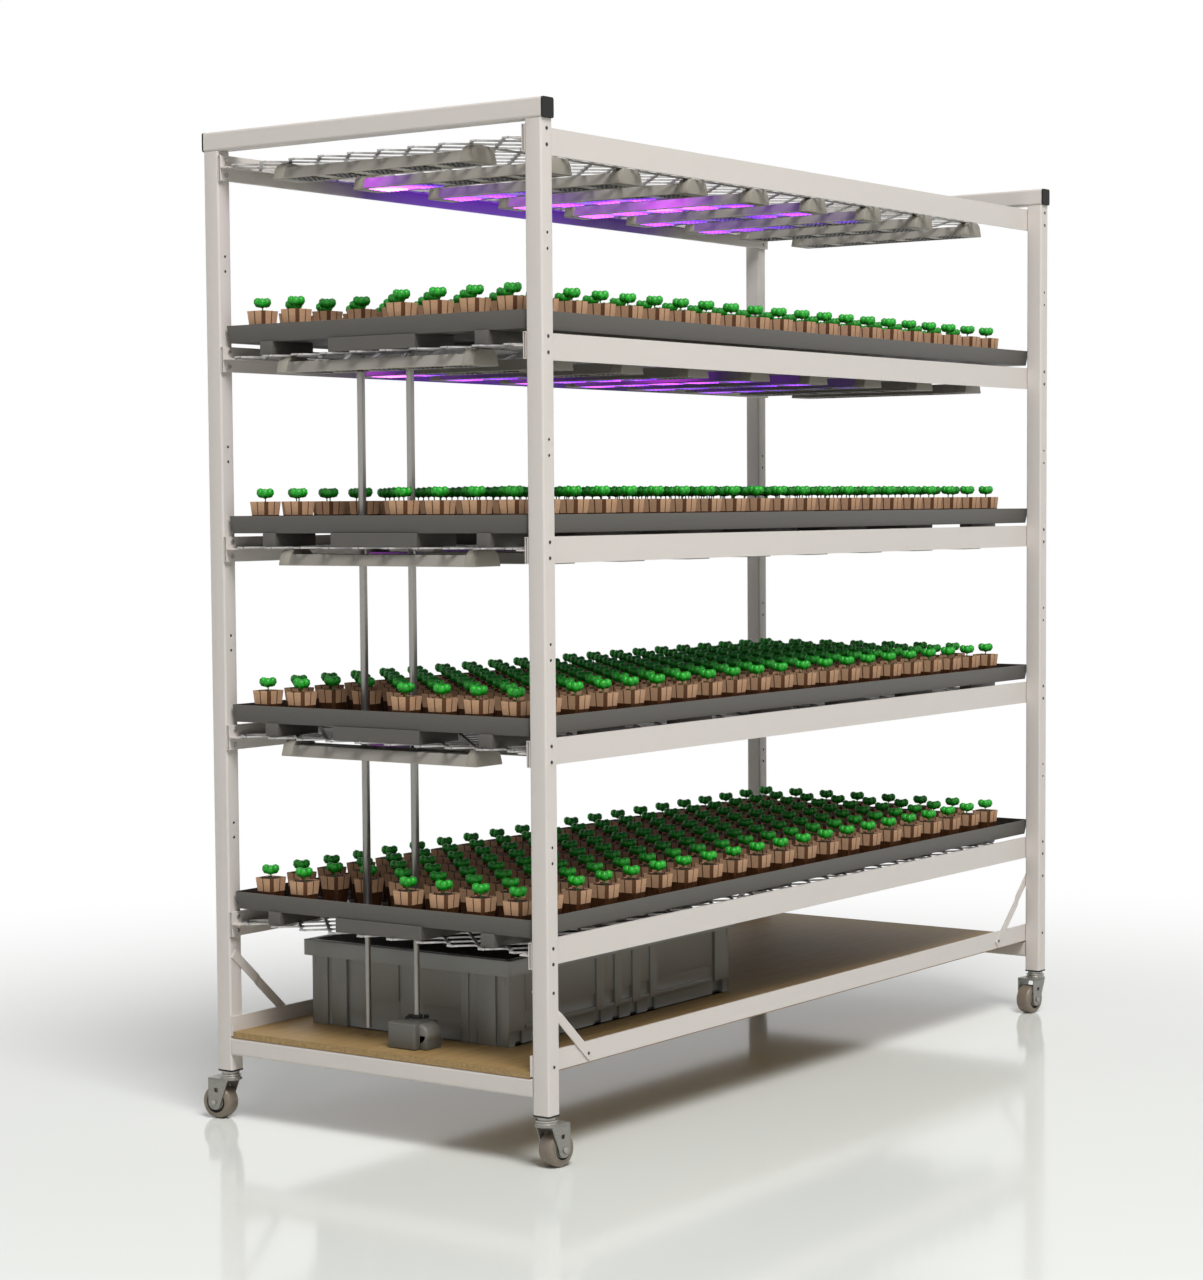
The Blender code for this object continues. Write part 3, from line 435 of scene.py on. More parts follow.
def glow(name, colour, halo, core, peak, shade=None):
    """A finish that shines round the lit places, most on the highest tier, and is dull between them: the
    lamps' own light on chips and boards, and a painted glow on housings and rails, where a shade colour
    adds painted shade.
    """
    made, tree, shader = blank(name)
    place = add(tree, "ShaderNodeTexCoord").outputs["Object"]
    level = {0: place, 1: (1, 1, 0)}
    flat = add(tree, "ShaderNodeVectorMath", level, operation="MULTIPLY").outputs["Vector"]
    total = None
    for x, y, reach, share in LIT_SPOTS:
        span = {0: flat, 1: (x, y, 0)}
        away = add(tree, "ShaderNodeVectorMath", span, operation="DISTANCE").outputs["Value"]
        fall = {"Value": away, "From Min": 0.0, "From Max": reach, "To Min": share, "To Max": 0.0}
        near = add(tree, "ShaderNodeMapRange", fall, interpolation_type="SMOOTHERSTEP").outputs["Result"]
        total = near if total is None else add(tree, "ShaderNodeMath", {0: total, 1: near}).outputs["Value"]
    height = add(tree, "ShaderNodeSeparateXYZ", {"Vector": place}).outputs["Z"]
    rise = {"Value": height, "From Min": DIM_HEIGHT, "From Max": BRIGHT_HEIGHT}
    rise.update({"To Min": DIM_SHARE * peak, "To Max": peak})
    most = add(tree, "ShaderNodeMapRange", rise).outputs["Result"]
    strength = add(tree, "ShaderNodeMath", {0: total, 1: most}, operation="MULTIPLY").outputs["Value"]
    shining = {0: total, 6: (*halo, 1), 7: (*core, 1)}
    mixed = add(tree, "ShaderNodeMix", shining, data_type="RGBA")
    tree.links.new(mixed.outputs[2], shader.inputs["Emission Color"])
    tree.links.new(strength, shader.inputs["Emission Strength"])
    shader.inputs["Base Color"].default_value = (*colour, 1)
    # Painted shade: near the lit places the base colour darkens towards the shade colour.
    if shade is not None:
        near = {"Value": total, "From Min": 0.0, "From Max": FULL_SHADE}
        amount = add(tree, "ShaderNodeMapRange", near).outputs["Result"]
        shaded = {0: amount, 6: (*colour, 1), 7: (*shade, 1)}
        based = add(tree, "ShaderNodeMix", shaded, data_type="RGBA")
        tree.links.new(based.outputs[2], shader.inputs["Base Color"])
    shader.inputs["Roughness"].default_value = 0.4
    return made


def bench_finishes(colours):
    """Every finish on the bench, by name."""
    made = {}
    # Powder coated steel: an even satin skin with a very fine orange peel.
    made["powder coat"] = finish("powder_coated_steel", colours.frame, (0.30, 0.40), 1.6, 0.015, 0.02)
    # Moulded black nylon: nearly matt, with a faint moulded grain.
    made["black nylon"] = finish("moulded_black_nylon", tint("0F0F0D"), (0.7, 0.85), 0.8, 0.1, 0.02)
    # Galvanised expanded steel: dull grey with cloudy zinc.
    made["galvanised"] = finish("galvanised_expanded_steel", colours.mesh, (0.35, 0.55), 9, 0.18,
                                metallic=0.6)
    # Vacuum formed ABS: a soft sheen over an even dark grey.
    made["formed ABS"] = finish("vacuum_formed_abs", colours.tray, (0.45, 0.55), 2.5, 0.04, 0.03)
    # The same sheet inside the tray, wet and glossy, and darker than outside.
    made["wet ABS"] = finish("wet_formed_abs", tint("2A2623"), (0.08, 0.2), 14, 0.15, 0.02)
    # Bead blasted aluminium: pale, satin, faintly drawn along the housing.
    made["blasted aluminium"] = finish("blasted_aluminium", colours.lamp, (0.38, 0.5), 1.2, 0.06,
                                       metallic=0.35, stretch=(1, 0.2, 1))
    # Cast aluminium ends and lips: lighter and duller than the housing between them.
    made["cast aluminium"] = finish("cast_aluminium", tint("9C968B"), (0.5, 0.62), 1.0, 0.06, 0.02, 0.25)
    # Pressed peat fibre: tan, matt and fibrous.
    made["peat fibre"] = finish("pressed_peat_fibre", colours.pot, (0.85, 0.95), 3, 0.12, 0.25)
    # The denser ribs of the same pots, darker where they are pressed.
    made["peat rib"] = finish("pressed_peat_rib", tint("5E3A1E"), (0.85, 0.95), 3, 0.25, 0.25)
    # The foot of the pots: glossy, with dark brown streaked upwards as painted shade and a painted
    # reflection of the wet tray.
    made["shaded peat foot"] = finish("peat_foot_painted_shade", tint("4A2C16"), (0.25, 0.45), 5, 0.5, 0.25,
                                 stretch=(1, 1, 0.25))
    # Potting soil: dark reddish crumbs.
    made["soil"] = finish("potting_soil", tint("3A1F16"), (0.9, 1.0), 4, 0.4, 1.5)
    # Seedling leaf: a bright soft green, mottled, with a waxy sheen.
    made["leaf"] = finish("seedling_leaf", colours.leaf, (0.35, 0.5), 7, 0.1, 0.3,
                          other=tint("087A10"))
    # Seedling stem: paler and smoother than the leaf.
    made["stem"] = finish("seedling_stem", tint("4FAE3A"), (0.5, 0.6), 5, 0.1)
    # Bare plywood: warm, its grain drawn out along the board, its plies showing on the edges.
    board = finish("bare_plywood", colours.board, (0.5, 0.7), 9, 0.1, 0.05,
                   stretch=(0.06, 1, 1), other=tint("947549"))
    made["plywood"] = layer_edges(board, 2.1, tint("86652F"), 0.45)
    # Rotationally moulded polyethylene: a waxy dark grey.
    made["polyethylene"] = finish("moulded_polyethylene", colours.tub, (0.28, 0.4), 4, 0.04, 0.05)
    # Moulded ABS of the pump: darker, with a fine spark grain.
    made["pump ABS"] = finish("moulded_pump_abs", tint("5E5D57"), (0.4, 0.55), 0.9, 0.08, 0.03)
    # The pump's lighter motor cover of the same ABS.
    made["cover ABS"] = finish("moulded_cover_abs", tint("74736C"), (0.4, 0.55), 0.9, 0.08, 0.03)
    # Drawn steel pipe: satin, dark at its sides and light down its middle.
    made["pipe"] = finish("drawn_steel_pipe", tint("9B9894"), (0.28, 0.36), 3, 0.04,
                          metallic=0.85, stretch=(1, 1, 0.1))
    # Zinc plated pressed steel: bright grey with rubbed patches.
    made["zinc"] = finish("zinc_plated_steel", tint("A5A39D"), (0.28, 0.42), 6, 0.1, metallic=0.75)
    # The duller zinc of the pressed fork.
    made["fork zinc"] = finish("passivated_zinc", tint("8F8D87"), (0.35, 0.5), 5, 0.1, metallic=0.5)
    # Dark zinc of the small screws, also used as painted shade on the walls of the drilled holes.
    made["dark zinc and hole shade"] = finish("dark_zinc_screw_and_painted_hole_shade", tint("4A4744"), (0.4, 0.5), 2, 0.1, metallic=0.6)
    # Solid polyurethane tyre: taupe, smooth, a little scuffed.
    made["tyre"] = finish("polyurethane_tyre", colours.tyre, (0.3, 0.45), 5, 0.07, 0.03)
    # Nylon hub: grey and a shade smoother than the tyre.
    made["hub"] = finish("moulded_grey_hub", tint("7C7870"), (0.4, 0.5), 2, 0.06)
    # Lamp chips: dark lenses that shine magenta where they are lit.
    made["lamp chip"] = glow("dark_lamp_chip", tint("2A2420"), tint("7A30FF"), tint("FF50FF"), 16.0)
    # Lamp housings beside the lit places: the same aluminium with painted shade and a painted violet glow
    # from the neighbouring lamps.
    made["lit housing"] = glow("blasted_aluminium_in_lamp_light", colours.lamp,
                               tint("6A20D8"), tint("F040FF"), 1.2, tint("6A6068"))
    # Back rails beside the lit places: the same powder coat with painted shade and a painted violet glow
    # from the lamps.
    made["lit rail"] = glow("powder_coat_in_lamp_light", colours.frame,
                            tint("6A20C8"), tint("7A20D0"), 1.5, tint("6F6280"))
    # The board behind the chips: cream grey, violet round the lit places.
    made["lamp sheet"] = glow("lamp_circuit_board", tint("A9A08F"), tint("5A28C8"), tint("C03CFF"), 6.0)
    # Polished pale resin: clear reflections near the bench, plain white further off.
    made["floor"] = polished_floor()
    return made


FINISHES = {}


def fit(name):
    if not FINISHES:
        FINISHES.update(bench_finishes(bpy.context.scene.bench_colours))
    return FINISHES[name]


# Frame


def round_uprights(piece, radius, segments=5):
    """Rounds the upright edges of a piece."""
    edit(piece)
    pick_edges(piece, upright)
    bevel(radius, segments)
    done()


def model_post(sizes):
    """The drilled tube, standing on the origin's axis."""
    half_w, half_d = TUBE_WIDTH / 2, TUBE_DEPTH / 2
    tube = block("post_tube", (-half_w, -half_d, POST_BOTTOM), (half_w, half_d, POST_TOP))
    round_uprights(tube, sizes.tube_corner)
    edit(tube)
    dish(tube, upward, TUBE_WALL, z=SOCKET_DEPTH - (POST_TOP - POST_BOTTOM))
    done()
    drills = []
    for pair in range(HOLE_PAIRS):
        for below in (0.0, HOLE_PAIR_GAP):
            height = POST_TOP - HOLE_DROP - pair * HOLE_PITCH - below
            drills.append(rod("drill", (0, 0, height), sizes.hole_radius, TUBE_DEPTH * 1.2, "Y", 16))
    cut(tube, join("drills", *drills))
    coat(tube, "powder coat")

    def hole_wall(c, n):
        between_ends = POST_BOTTOM + MM < c.z < POST_TOP - MM
        return between_ends and abs(c.x) < sizes.hole_radius * 1.1 and abs(n.y) < 0.3

    # Painted shade: the walls of the drilled holes take the dark screw zinc.
    coat_faces(tube, "dark zinc and hole shade", hole_wall)
    return tube


def model_screw(radius, height, sides=16):
    """A round headed screw facing -Y, with a hexagon sunk in it, its seat at the origin."""
    head = rod("screw", (0, -height / 2, 0), radius, height, "Y", sides)
    edit(head)
    pick_faces(head, lambda c, n: n.y < -0.9)
    bevel(height * 0.45, 2)
    done()
    socket = rod("socket", (0, -height, 0), radius * 0.5, height, "Y", 6)
    cut(head, socket)
    return coat(head, "dark zinc and hole shade")


def model_nut(radius, height):
    """A hexagon nut facing +Y, its seat at the origin."""
    nut = rod("nut", (0, height / 2, 0), radius, height, "Y", 6)
    return round_off(nut, "zinc", height * 0.12, 1)


def model_flange(sizes):
    """The black collar of a caster socket, closing the foot of a post."""
    half_w, half_d = TUBE_WIDTH / 2 + FLANGE_LIP, TUBE_DEPTH / 2 + FLANGE_LIP
    top = POST_BOTTOM - TIGHT
    flange = block("socket_flange", (-half_w, -half_d, SOCKET_BOTTOM), (half_w, half_d, top))
    round_uprights(flange, sizes.tube_corner)
    return round_off(flange, "black nylon", FLANGE_LIP)


def model_plate():
    """The round zinc plate that the caster's race turns under."""
    middle = (0, 0, PLATE_BOTTOM + PLATE_THICKNESS / 2)
    plate = rod("top_plate", middle, PLATE_RADIUS, PLATE_THICKNESS, "Z", 40)
    edit(plate)
    dish(plate, downward, PLATE_RIM, z=PLATE_DISH)
    done()
    return round_off(plate, "zinc", PLATE_ROUND, 3)


class BENCH_OT_posts(bpy.types.Operator):
    """Builds the drilled posts, their caster sockets and the screws that hold the shelf rails"""

    bl_idname = "bench.posts"
    bl_label = "Posts"

    def execute(self, context):
        sizes = context.scene.bench_sizes
        tube, flange, plate = model_post(sizes), model_flange(sizes), model_plate()
        screw, nut = model_screw(*RAIL_SCREW), model_nut(*RAIL_NUT)
        for corner, sx, sy in CORNERS:
            spot = Vector((sx * POST_X, FRAME_MIDDLE + sy * POST_Y, 0.0))
            hand_over(copy_of(tube, f"post_tube_{corner}", spot), [f"post_{corner}"])
            hand_over(copy_of(flange, f"socket_flange_{corner}", spot))
            hand_over(copy_of(plate, f"top_plate_{corner}", spot))
            fixings = []
            turn = 0.0 if sy < 0 else math.pi
            outside = FRAME_MIDDLE + sy * (HALF_DEPTH - TIGHT)
            inside = FRAME_MIDDLE + sy * (HALF_DEPTH - TUBE_DEPTH - RAIL_WEB_DEPTH + TIGHT)
            for tier in range(5):
                for below in (0.0, HOLE_PAIR_GAP):
                    height = POST_TOP - HOLE_DROP - 2 * tier * HOLE_PITCH - below
                    fixings.append(copy_of(screw, "rail_screw", (sx * POST_X, outside, height), turn))
                    fixings.append(copy_of(nut, "rail_nut", (sx * POST_X, inside, height), turn))
            hand_over(join(f"rail_fixings_{corner}", *fixings))
        remove(tube, flange, plate, screw, nut)
        return {"FINISHED"}


class BENCH_OT_rails(bpy.types.Operator):
    """Coats the rails, caps and board that come from the frame as they are"""

    bl_idname = "bench.rails"
    bl_label = "Rails and caps"

    def execute(self, context):
        for name, node in frame["nodes"].items():
            if name.startswith(("top_rail", "shelf_rail", "deck_rail", "end_rail", "brace")):
                coat(node, "powder coat")
                if name in ("shelf_rail_back_1", "shelf_rail_back_2"):
                    # Painted light: the inner and lower faces of the two highest back rails glow violet and
                    # darken round the lit places.
                    coat_faces(node, "lit rail", lambda c, n: n.y < -0.5 or n.z < -0.5)
            elif name.startswith("top_cap"):
                coat(node, "black nylon")
            elif name.startswith("deck_board"):
                coat(node, "plywood")
        return {"FINISHED"}


class BENCH_OT_deck_screws(bpy.types.Operator):
    """Sets the screws of the deck rails and braces"""

    bl_idname = "bench.deck_screws"
    bl_label = "Deck and brace screws"

    def execute(self, context):
        screw = model_screw(*DECK_SCREW)
        rail_middle = (DECK_RAIL_LOW.z + DECK_RAIL_HIGH.z) / 2
        outer = BRACE_LOW.y - FRAME_MIDDLE
        for corner, sx, sy in CORNERS:
            turn = 0.0 if sy < 0 else math.pi
            spots = [
                (sx * POST_X, FRAME_MIDDLE + sy * HALF_DEPTH, BRACE_TOP),
                (sx * POST_X, FRAME_MIDDLE + sy * HALF_DEPTH, rail_middle),
                (sx * BRACE_FOOT_X, FRAME_MIDDLE - sy * outer, BRACE_FOOT),
            ]
            fixings = [copy_of(screw, "deck_screw", spot, turn) for spot in spots]
            hand_over(join(f"deck_screws_{corner}", *fixings))
        remove(screw)
        return {"FINISHED"}


# Shelves


def model_mesh_deck(sizes):
    """Expanded metal: flat diamonds that end in open points, its underside at Z = 0."""
    half_x, half_y = (DECK_HIGH.x - DECK_LOW.x) / 2, (DECK_HIGH.y - DECK_LOW.y) / 2
    columns = round(2 * half_x / sizes.diamond_length)
    rows = round(2 * half_y / sizes.diamond_width)
    pitch_x, pitch_y = 2 * half_x / columns, 2 * half_y / rows
    middle = Vector((-half_x + pitch_x / 2, -half_y + pitch_y / 2, 0.0))

    select_nothing()
    bpy.ops.mesh.primitive_circle_add(vertices=4, radius=1.0, fill_type="NGON", location=middle)
    cell = settle("mesh_deck")
    edit(cell)
    bpy.ops.mesh.select_all(action="SELECT")
    scale_picked(pitch_x / 2, pitch_y / 2, about=middle)
    inset(sizes.strand_width / 2)
    bpy.ops.mesh.bevel(offset=sizes.knot_width, segments=1, affect="VERTICES")
    pick_faces(cell, lambda c, n: (c - middle).length < sizes.strand_width / 4)
    bpy.ops.mesh.delete(type="FACE")
    done()
    between = copy_of(cell, "mesh_between", (-pitch_x / 2, -pitch_y / 2, 0.0))
    repeat(cell, columns, x=pitch_x)
    repeat(cell, rows, y=pitch_y)
    repeat(between, columns + 1, x=pitch_x)
    repeat(between, rows + 1, y=pitch_y)

    deck = join("mesh_deck", between, cell)
    edit(deck)
    for axis, reach in (("X", half_x), ("Y", half_y)):
        slice_at(axis, reach, clear=True)
        slice_at("-" + axis, -reach, clear=True)
    bpy.ops.mesh.select_all(action="SELECT")
    bpy.ops.mesh.remove_doubles(threshold=0.0001)
    done()
    step(deck, "SOLIDIFY", thickness=DECK_HIGH.z - DECK_LOW.z, offset=1.0)
    cut(deck, pipe_drills(0.05, sizes.pipe_room))
    return coat(deck, "galvanised")


class BENCH_OT_decks(bpy.types.Operator):
    """Builds the five expanded metal decks"""

    bl_idname = "bench.decks"
    bl_label = "Mesh decks"

    def execute(self, context):
        deck = model_mesh_deck(context.scene.bench_sizes)
        for tier in TIERS:
            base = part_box(f"mesh_deck_{tier}")[0].z
            piece = copy_of(deck, f"expanded_deck_{tier}", (0, FRAME_MIDDLE, base))
            hand_over(piece, [f"mesh_deck_{tier}"])
        remove(deck)
        return {"FINISHED"}


TRAY_FOOT, TRAY_FLOOR = 0.032, 0.0018
TRAY_FLARE, TRAY_SHEET, TRAY_CORNER = 0.006, 0.003, 0.010
FEET_IN_LINE = 7
PAD_COLUMNS, PAD_ROWS = 21, 8


def model_tray_feet(half_x):
    """Three lines of seven feet each under a tray, the middle ones hollow."""
    length, side_width, side_place, middle_width = 0.150, 0.040, 0.3246, 0.2606
    start, top = 0.002 - half_x, TRAY_FOOT + MM
    end = start + length
    pitch = (-2 * start - length) / (FEET_IN_LINE - 1)
    feet = []
    for y in (-side_place, side_place):
        side = block("side_foot", (start, y - side_width / 2, 0), (end, y + side_width / 2, top))
        soften(side, 0.003)
        feet.append(side)
    middle = block("middle_foot", (start, -middle_width / 2, 0), (end, middle_width / 2, top))
    edit(middle)
    dish(middle, downward, 0.0025, z=TRAY_FOOT - 0.002)
    done()
    soften(middle, 0.001, 1)
    feet.append(middle)
    for foot in feet:
        repeat(foot, FEET_IN_LINE, x=pitch)
    return feet


def model_tray():
    """The flared pan on its feet, with the feet's undersides at Z = 0."""
    length, width, height = TRAY_HIGH - TRAY_LOW
    half_x, half_y = length / 2, width / 2
    foot = TRAY_FOOT
    narrow_x, narrow_y = 1 - TRAY_FLARE / half_x, 1 - TRAY_FLARE / half_y

    pan = block("tray_pan", (-half_x, -half_y, foot), (half_x, half_y, height))
    edit(pan)
    pick_faces(pan, downward)
    scale_picked(narrow_x, narrow_y, about=(0, 0, foot))
    pick_edges(pan, upright)
    bevel(TRAY_CORNER, 4)
    pick_faces(pan, upward)
    inset(TRAY_SHEET)
    extrude(z=-(height - foot - TRAY_FLOOR))
    scale_picked(narrow_x, narrow_y, about=(0, 0, foot))
    done()
    round_off(pan, "formed ABS", 0.0012)

    # Flat pads, with shallow drains between them, lie under the pots.
    edge, gap, pad_x, pad_y = 0.030, 0.010, 0.104, 0.095
    corner = Vector((edge - half_x, edge - half_y, foot + MM))
    pad = block("floor_pad", corner, corner + Vector((pad_x, pad_y, TRAY_SHEET - MM)))
    edit(pad)
    pick_edges(pad, lambda a, b: min(a.z, b.z) > foot + 2 * MM)
    bevel(0.0008, 1)
    done()
    repeat(pad, PAD_COLUMNS, x=(length - 2 * edge + gap) / PAD_COLUMNS)
    repeat(pad, PAD_ROWS, y=(width - 2 * edge + gap) / PAD_ROWS)
    coat(pad, "wet ABS")

    def inside(c, n):
        along, across = n.x * c.x, n.y * c.y
        wall = abs(n.z) < 0.5 and along + across < -0.3 * max(abs(along), abs(across))
        return c.z > foot and (wall or (n.z > 0.5 and c.z < height - 2 * MM))

    coat_faces(pan, "wet ABS", inside)
    feet = [coat(piece, "formed ABS") for piece in model_tray_feet(half_x)]
    return join("tray", pad, *feet, pan)


class BENCH_OT_trays(bpy.types.Operator):
    """Builds the four flood trays"""

    bl_idname = "bench.trays"
    bl_label = "Flood trays"

    def execute(self, context):
        tray = model_tray()
        for tier in PLANTED:
            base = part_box(f"flood_tray_{tier}")[0].z
            piece = copy_of(tray, f"formed_tray_{tier}", (0, FRAME_MIDDLE, base))
            hand_over(piece, [f"flood_tray_{tier}"])
        remove(tray)
        return {"FINISHED"}


# Lights

LAMP_WIDTH, LAMP_TOP_WIDTH = 0.097, 0.080
LAMP_LIP = 0.003
LAMP_DROP = 0.013
LAMP_END = 0.032
LAMP_END_TOP = 0.056
LAMP_COUNT = 9
LAMP_SHOULDER = 0.082
LAMP_BOARD_RIM = 0.005
STRAP_THICKNESS, STRAP_WIDTH = 0.002, 0.018
CHIP_WIDTH, CHIP_DEPTH, CHIP_HEIGHT = 0.012, 0.008, 0.0026
CHIPS_ACROSS, CHIP_SPREAD = 4, 0.0205


def model_chips(sizes, base):
    """Groups of small square covers along a lamp's underside, standing down from its board."""
    half_x, half_y = CHIP_WIDTH / 2, CHIP_DEPTH / 2
    chip = block("lamp_chip", (-half_x, -half_y, base), (half_x, half_y, base + CHIP_HEIGHT + TIGHT))
    edit(chip)
    pick_faces(chip, downward)
    inset(0.0015)
    scale_picked(0.9, 0.9, 1, (0, 0, base))
    done()
    group = (sizes.chips_per_group - 1) * sizes.chip_pitch
    spacing = group + sizes.chip_gap
    shift(chip, -(CHIPS_ACROSS - 1) / 2 * CHIP_SPREAD, -(sizes.chip_groups - 1) / 2 * spacing - group / 2)
    repeat(chip, CHIPS_ACROSS, x=CHIP_SPREAD)
    repeat(chip, sizes.chips_per_group, y=sizes.chip_pitch)
    repeat(chip, sizes.chip_groups, y=spacing)
    return coat(chip, "lamp chip")


def model_lamp(sizes):
    """One lamp across the bench, the mesh above it at Z = 0 and its middle on X = 0."""
    length = BANK_HIGH.y - BANK_LOW.y
    base = BANK_LOW.z - BANK_HIGH.z
    top = -LAMP_DROP
    half, inner = length / 2, length / 2 - LAMP_END
    side, lip_top = LAMP_WIDTH / 2, base + LAMP_LIP

    body = block("lamp_housing", (-side, -inner - MM, base), (side, inner + MM, lip_top))
    edit(body)
    pick_faces(body, upward)
    extrude(z=TIGHT)
    above_lip = 0.975
    scale_picked(above_lip)
    extrude(z=top - base - LAMP_LIP - TIGHT)
    scale_picked(LAMP_TOP_WIDTH / LAMP_WIDTH / above_lip)
    dish(body, downward, LAMP_BOARD_RIM, z=LAMP_LIP)
    done()
    round_off(body, "blasted aluminium", 0.0008)
    # Painted light: the housing's sides glow violet and darken round the lit places.
    coat_faces(body, "lit housing", lambda c, n: abs(n.x) > 0.7)
    coat_faces(body, "cast aluminium", lambda c, n: c.z < lip_top and abs(c.x) > side - LAMP_BOARD_RIM - MM)
    coat_faces(body, "lamp sheet", lambda c, n: n.z < -0.9 and base + MM < c.z < lip_top + LAMP_LIP)

    end = block("lamp_end", (-side, inner, base), (side, half, lip_top))
    edit(end)
    pick_faces(end, upward)
    extrude(z=top - base - LAMP_LIP)
    scale_picked(LAMP_SHOULDER / LAMP_WIDTH)
    extrude(z=LAMP_DROP - STRAP_THICKNESS)
    scale_picked(LAMP_END_TOP / LAMP_SHOULDER)
    done()
    round_off(end, "cast aluminium", 0.0014)
    twin = copy_of(end, "lamp_end_twin", turn=math.pi)
    return join("lamp", model_chips(sizes, base + TIGHT), end, twin, body)


class BENCH_OT_lamps(bpy.types.Operator):
    """Builds the four banks of nine lamps and the two straps that carry each bank"""

    bl_idname = "bench.lamps"
    bl_label = "Lamps"

    def execute(self, context):
        lamp = model_lamp(context.scene.bench_sizes)
        first = BANK_LOW.x + LAMP_WIDTH / 2
        shift(lamp, first)
        repeat(lamp, LAMP_COUNT, x=-2 * first / (LAMP_COUNT - 1))
        strap_place = (BANK_HIGH.y - BANK_LOW.y - LAMP_END) / 2
        half = Vector((LAMP_END_TOP / 2 - first, STRAP_WIDTH / 2, STRAP_THICKNESS / 2))
        straps = []
        for y in (-strap_place, strap_place):
            middle = Vector((0, y, -TIGHT - STRAP_THICKNESS / 2))
            strap = block("strap", middle - half, middle + half)
            straps.append(round_off(strap, "zinc", 0.0005, 1))
        strap = join("straps", *straps)
        for tier in LIT:
            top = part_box(f"light_bank_{tier}")[1].z
            bank = copy_of(lamp, f"lamp_bank_{tier}", (0, FRAME_MIDDLE, top))
            hand_over(bank, [f"light_bank_{tier}"])
            hand_over(copy_of(strap, f"lamp_straps_{tier}", (0, FRAME_MIDDLE, top)))
        remove(lamp, strap)
        return {"FINISHED"}


# Crop

POT_HEIGHT, POT_WIDTH, POT_BASE = 0.073, 0.0595, 0.046
POT_RIB, POT_CORNER, POT_SWELLING = 0.0016, 0.0070, 0.0009
POT_SHEET, SOIL_DROP = 0.0014, 0.003
# Height up the pots of their painted shade and reflection
SHADED_FOOT_HEIGHT = 0.041
POT_COLUMNS, POT_ROWS = 21, 8

# The middles of the outermost pots, inward from the rails' left end and the crop's right end and sides
CROP_START, CROP_END, CROP_SIDE = 0.0617, 0.02825, 0.021


# Seedling leaves: the way each leans in degrees, how far out and how wide as shares of half the
# seedling's width, half its height, and how far its middle lies below the top
LEAVES = (
    (-54, 0.47, 0.53, 0.0130, 0.0142), (126, 0.47, 0.53, 0.0130, 0.0140),
    (216, 0.30, 0.55, 0.0135, 0.0158),
)


def crop_grid():
    """First pot's place and the two pitches."""
    first = Vector((CROP_START - HALF_LENGTH, CROP_LOW.y + CROP_SIDE, 0))
    pitch_x = (CROP_HIGH.x - CROP_END - first.x) / (POT_COLUMNS - 1)
    pitch_y = (CROP_HIGH.y - CROP_LOW.y - 2 * CROP_SIDE) / (POT_ROWS - 1)
    return first, pitch_x, pitch_y


def drop_missing(piece, first, pitch_x, pitch_y):
    """Takes out the fifth and sixth plants of the first row across, where the pipes pass."""

    def missing(c, n):
        row = (c.y - first.y) / pitch_y
        return c.x < first.x + pitch_x / 2 and 3.5 < row < 5.5

    edit(piece)
    pick_faces(piece, missing)
    bpy.ops.mesh.delete(type="FACE")
    done()


def model_pot():
    """A square pot of pressed peat with broad corners and a rib down the middle of each side."""
    half = POT_WIDTH / 2 - POT_SWELLING
    pot = block("pot", (-half, -half, 0), (half, half, POT_HEIGHT))
    edit(pot)
    pick_faces(pot, downward)
    scale_picked(POT_BASE / POT_WIDTH, POT_BASE / POT_WIDTH)
    pick_edges(pot, upright)
    bevel(POT_CORNER, 1)

    for across in (Vector((1, 0, 0)), Vector((0, 1, 0))):
        for place in (-POT_RIB, POT_RIB):
            pick_faces(pot, lambda c, n: abs(n.z) < 0.5 and abs(c.dot(across)) < half * 0.6)
            bpy.ops.mesh.bisect(plane_co=place * across, plane_no=across)

    def is_rib(c, n):
        chamfer = abs(abs(n.x) - abs(n.y)) < 0.3
        return abs(n.z) < 0.5 and (chamfer or min(abs(c.x), abs(c.y)) < POT_RIB)

    pick_faces(pot, is_rib)
    bpy.ops.transform.shrink_fatten(value=POT_SWELLING)
    slice_at("Z", SHADED_FOOT_HEIGHT)
    pick_faces(pot, upward)
    inset(POT_SHEET)
    extrude(z=-SOIL_DROP)
    done()
    coat(pot, "peat fibre")
    coat_faces(pot, "peat rib", lambda c, n: is_rib(c, n) or (n.z > 0.5 and c.z > POT_HEIGHT - MM))
    # Painted shade and reflection: the pots' sides below this height are dark brown, streaked upwards.
    coat_faces(pot, "shaded peat foot", lambda c, n: abs(n.z) < 0.5 and c.z < SHADED_FOOT_HEIGHT)
    coat_faces(pot, "soil", lambda c, n: n.z > 0.9 and POT_HEIGHT / 2 < c.z < POT_HEIGHT - 2 * MM)
    return pot


def model_seedling(sizes):
    """A short stem with two round seed leaves and a third that leans out between them."""
    top = POT_HEIGHT + sizes.seedling_height
    soil = POT_HEIGHT - SOIL_DROP
    stem_top = top - 0.018
    stem = rod("stem", (0, 0, (soil + stem_top) / 2), 0.0016, stem_top - soil, "Z", 5)
    parts = [coat(stem, "stem")]
    half = sizes.seedling_width / 2
    for angle, out, wide, tall, drop in LEAVES:
        turn = math.radians(angle)
        select_nothing()
        bpy.ops.mesh.primitive_uv_sphere_add(
            segments=6, ring_count=4, radius=1.0, rotation=(0, math.radians(12), turn),
            location=(out * half * math.cos(turn), out * half * math.sin(turn), top - drop),
            scale=(wide * half, wide * half, tall))
        leaf = settle("leaf")
        edit(leaf)
        pick_faces(leaf, lambda c, n: n.z > 0.8)
        scale_picked(1.0, 1.0, 0.9, (0, 0, top - drop))
        done()
        parts.append(coat(leaf, "leaf"))
    return join("seedling", *parts)


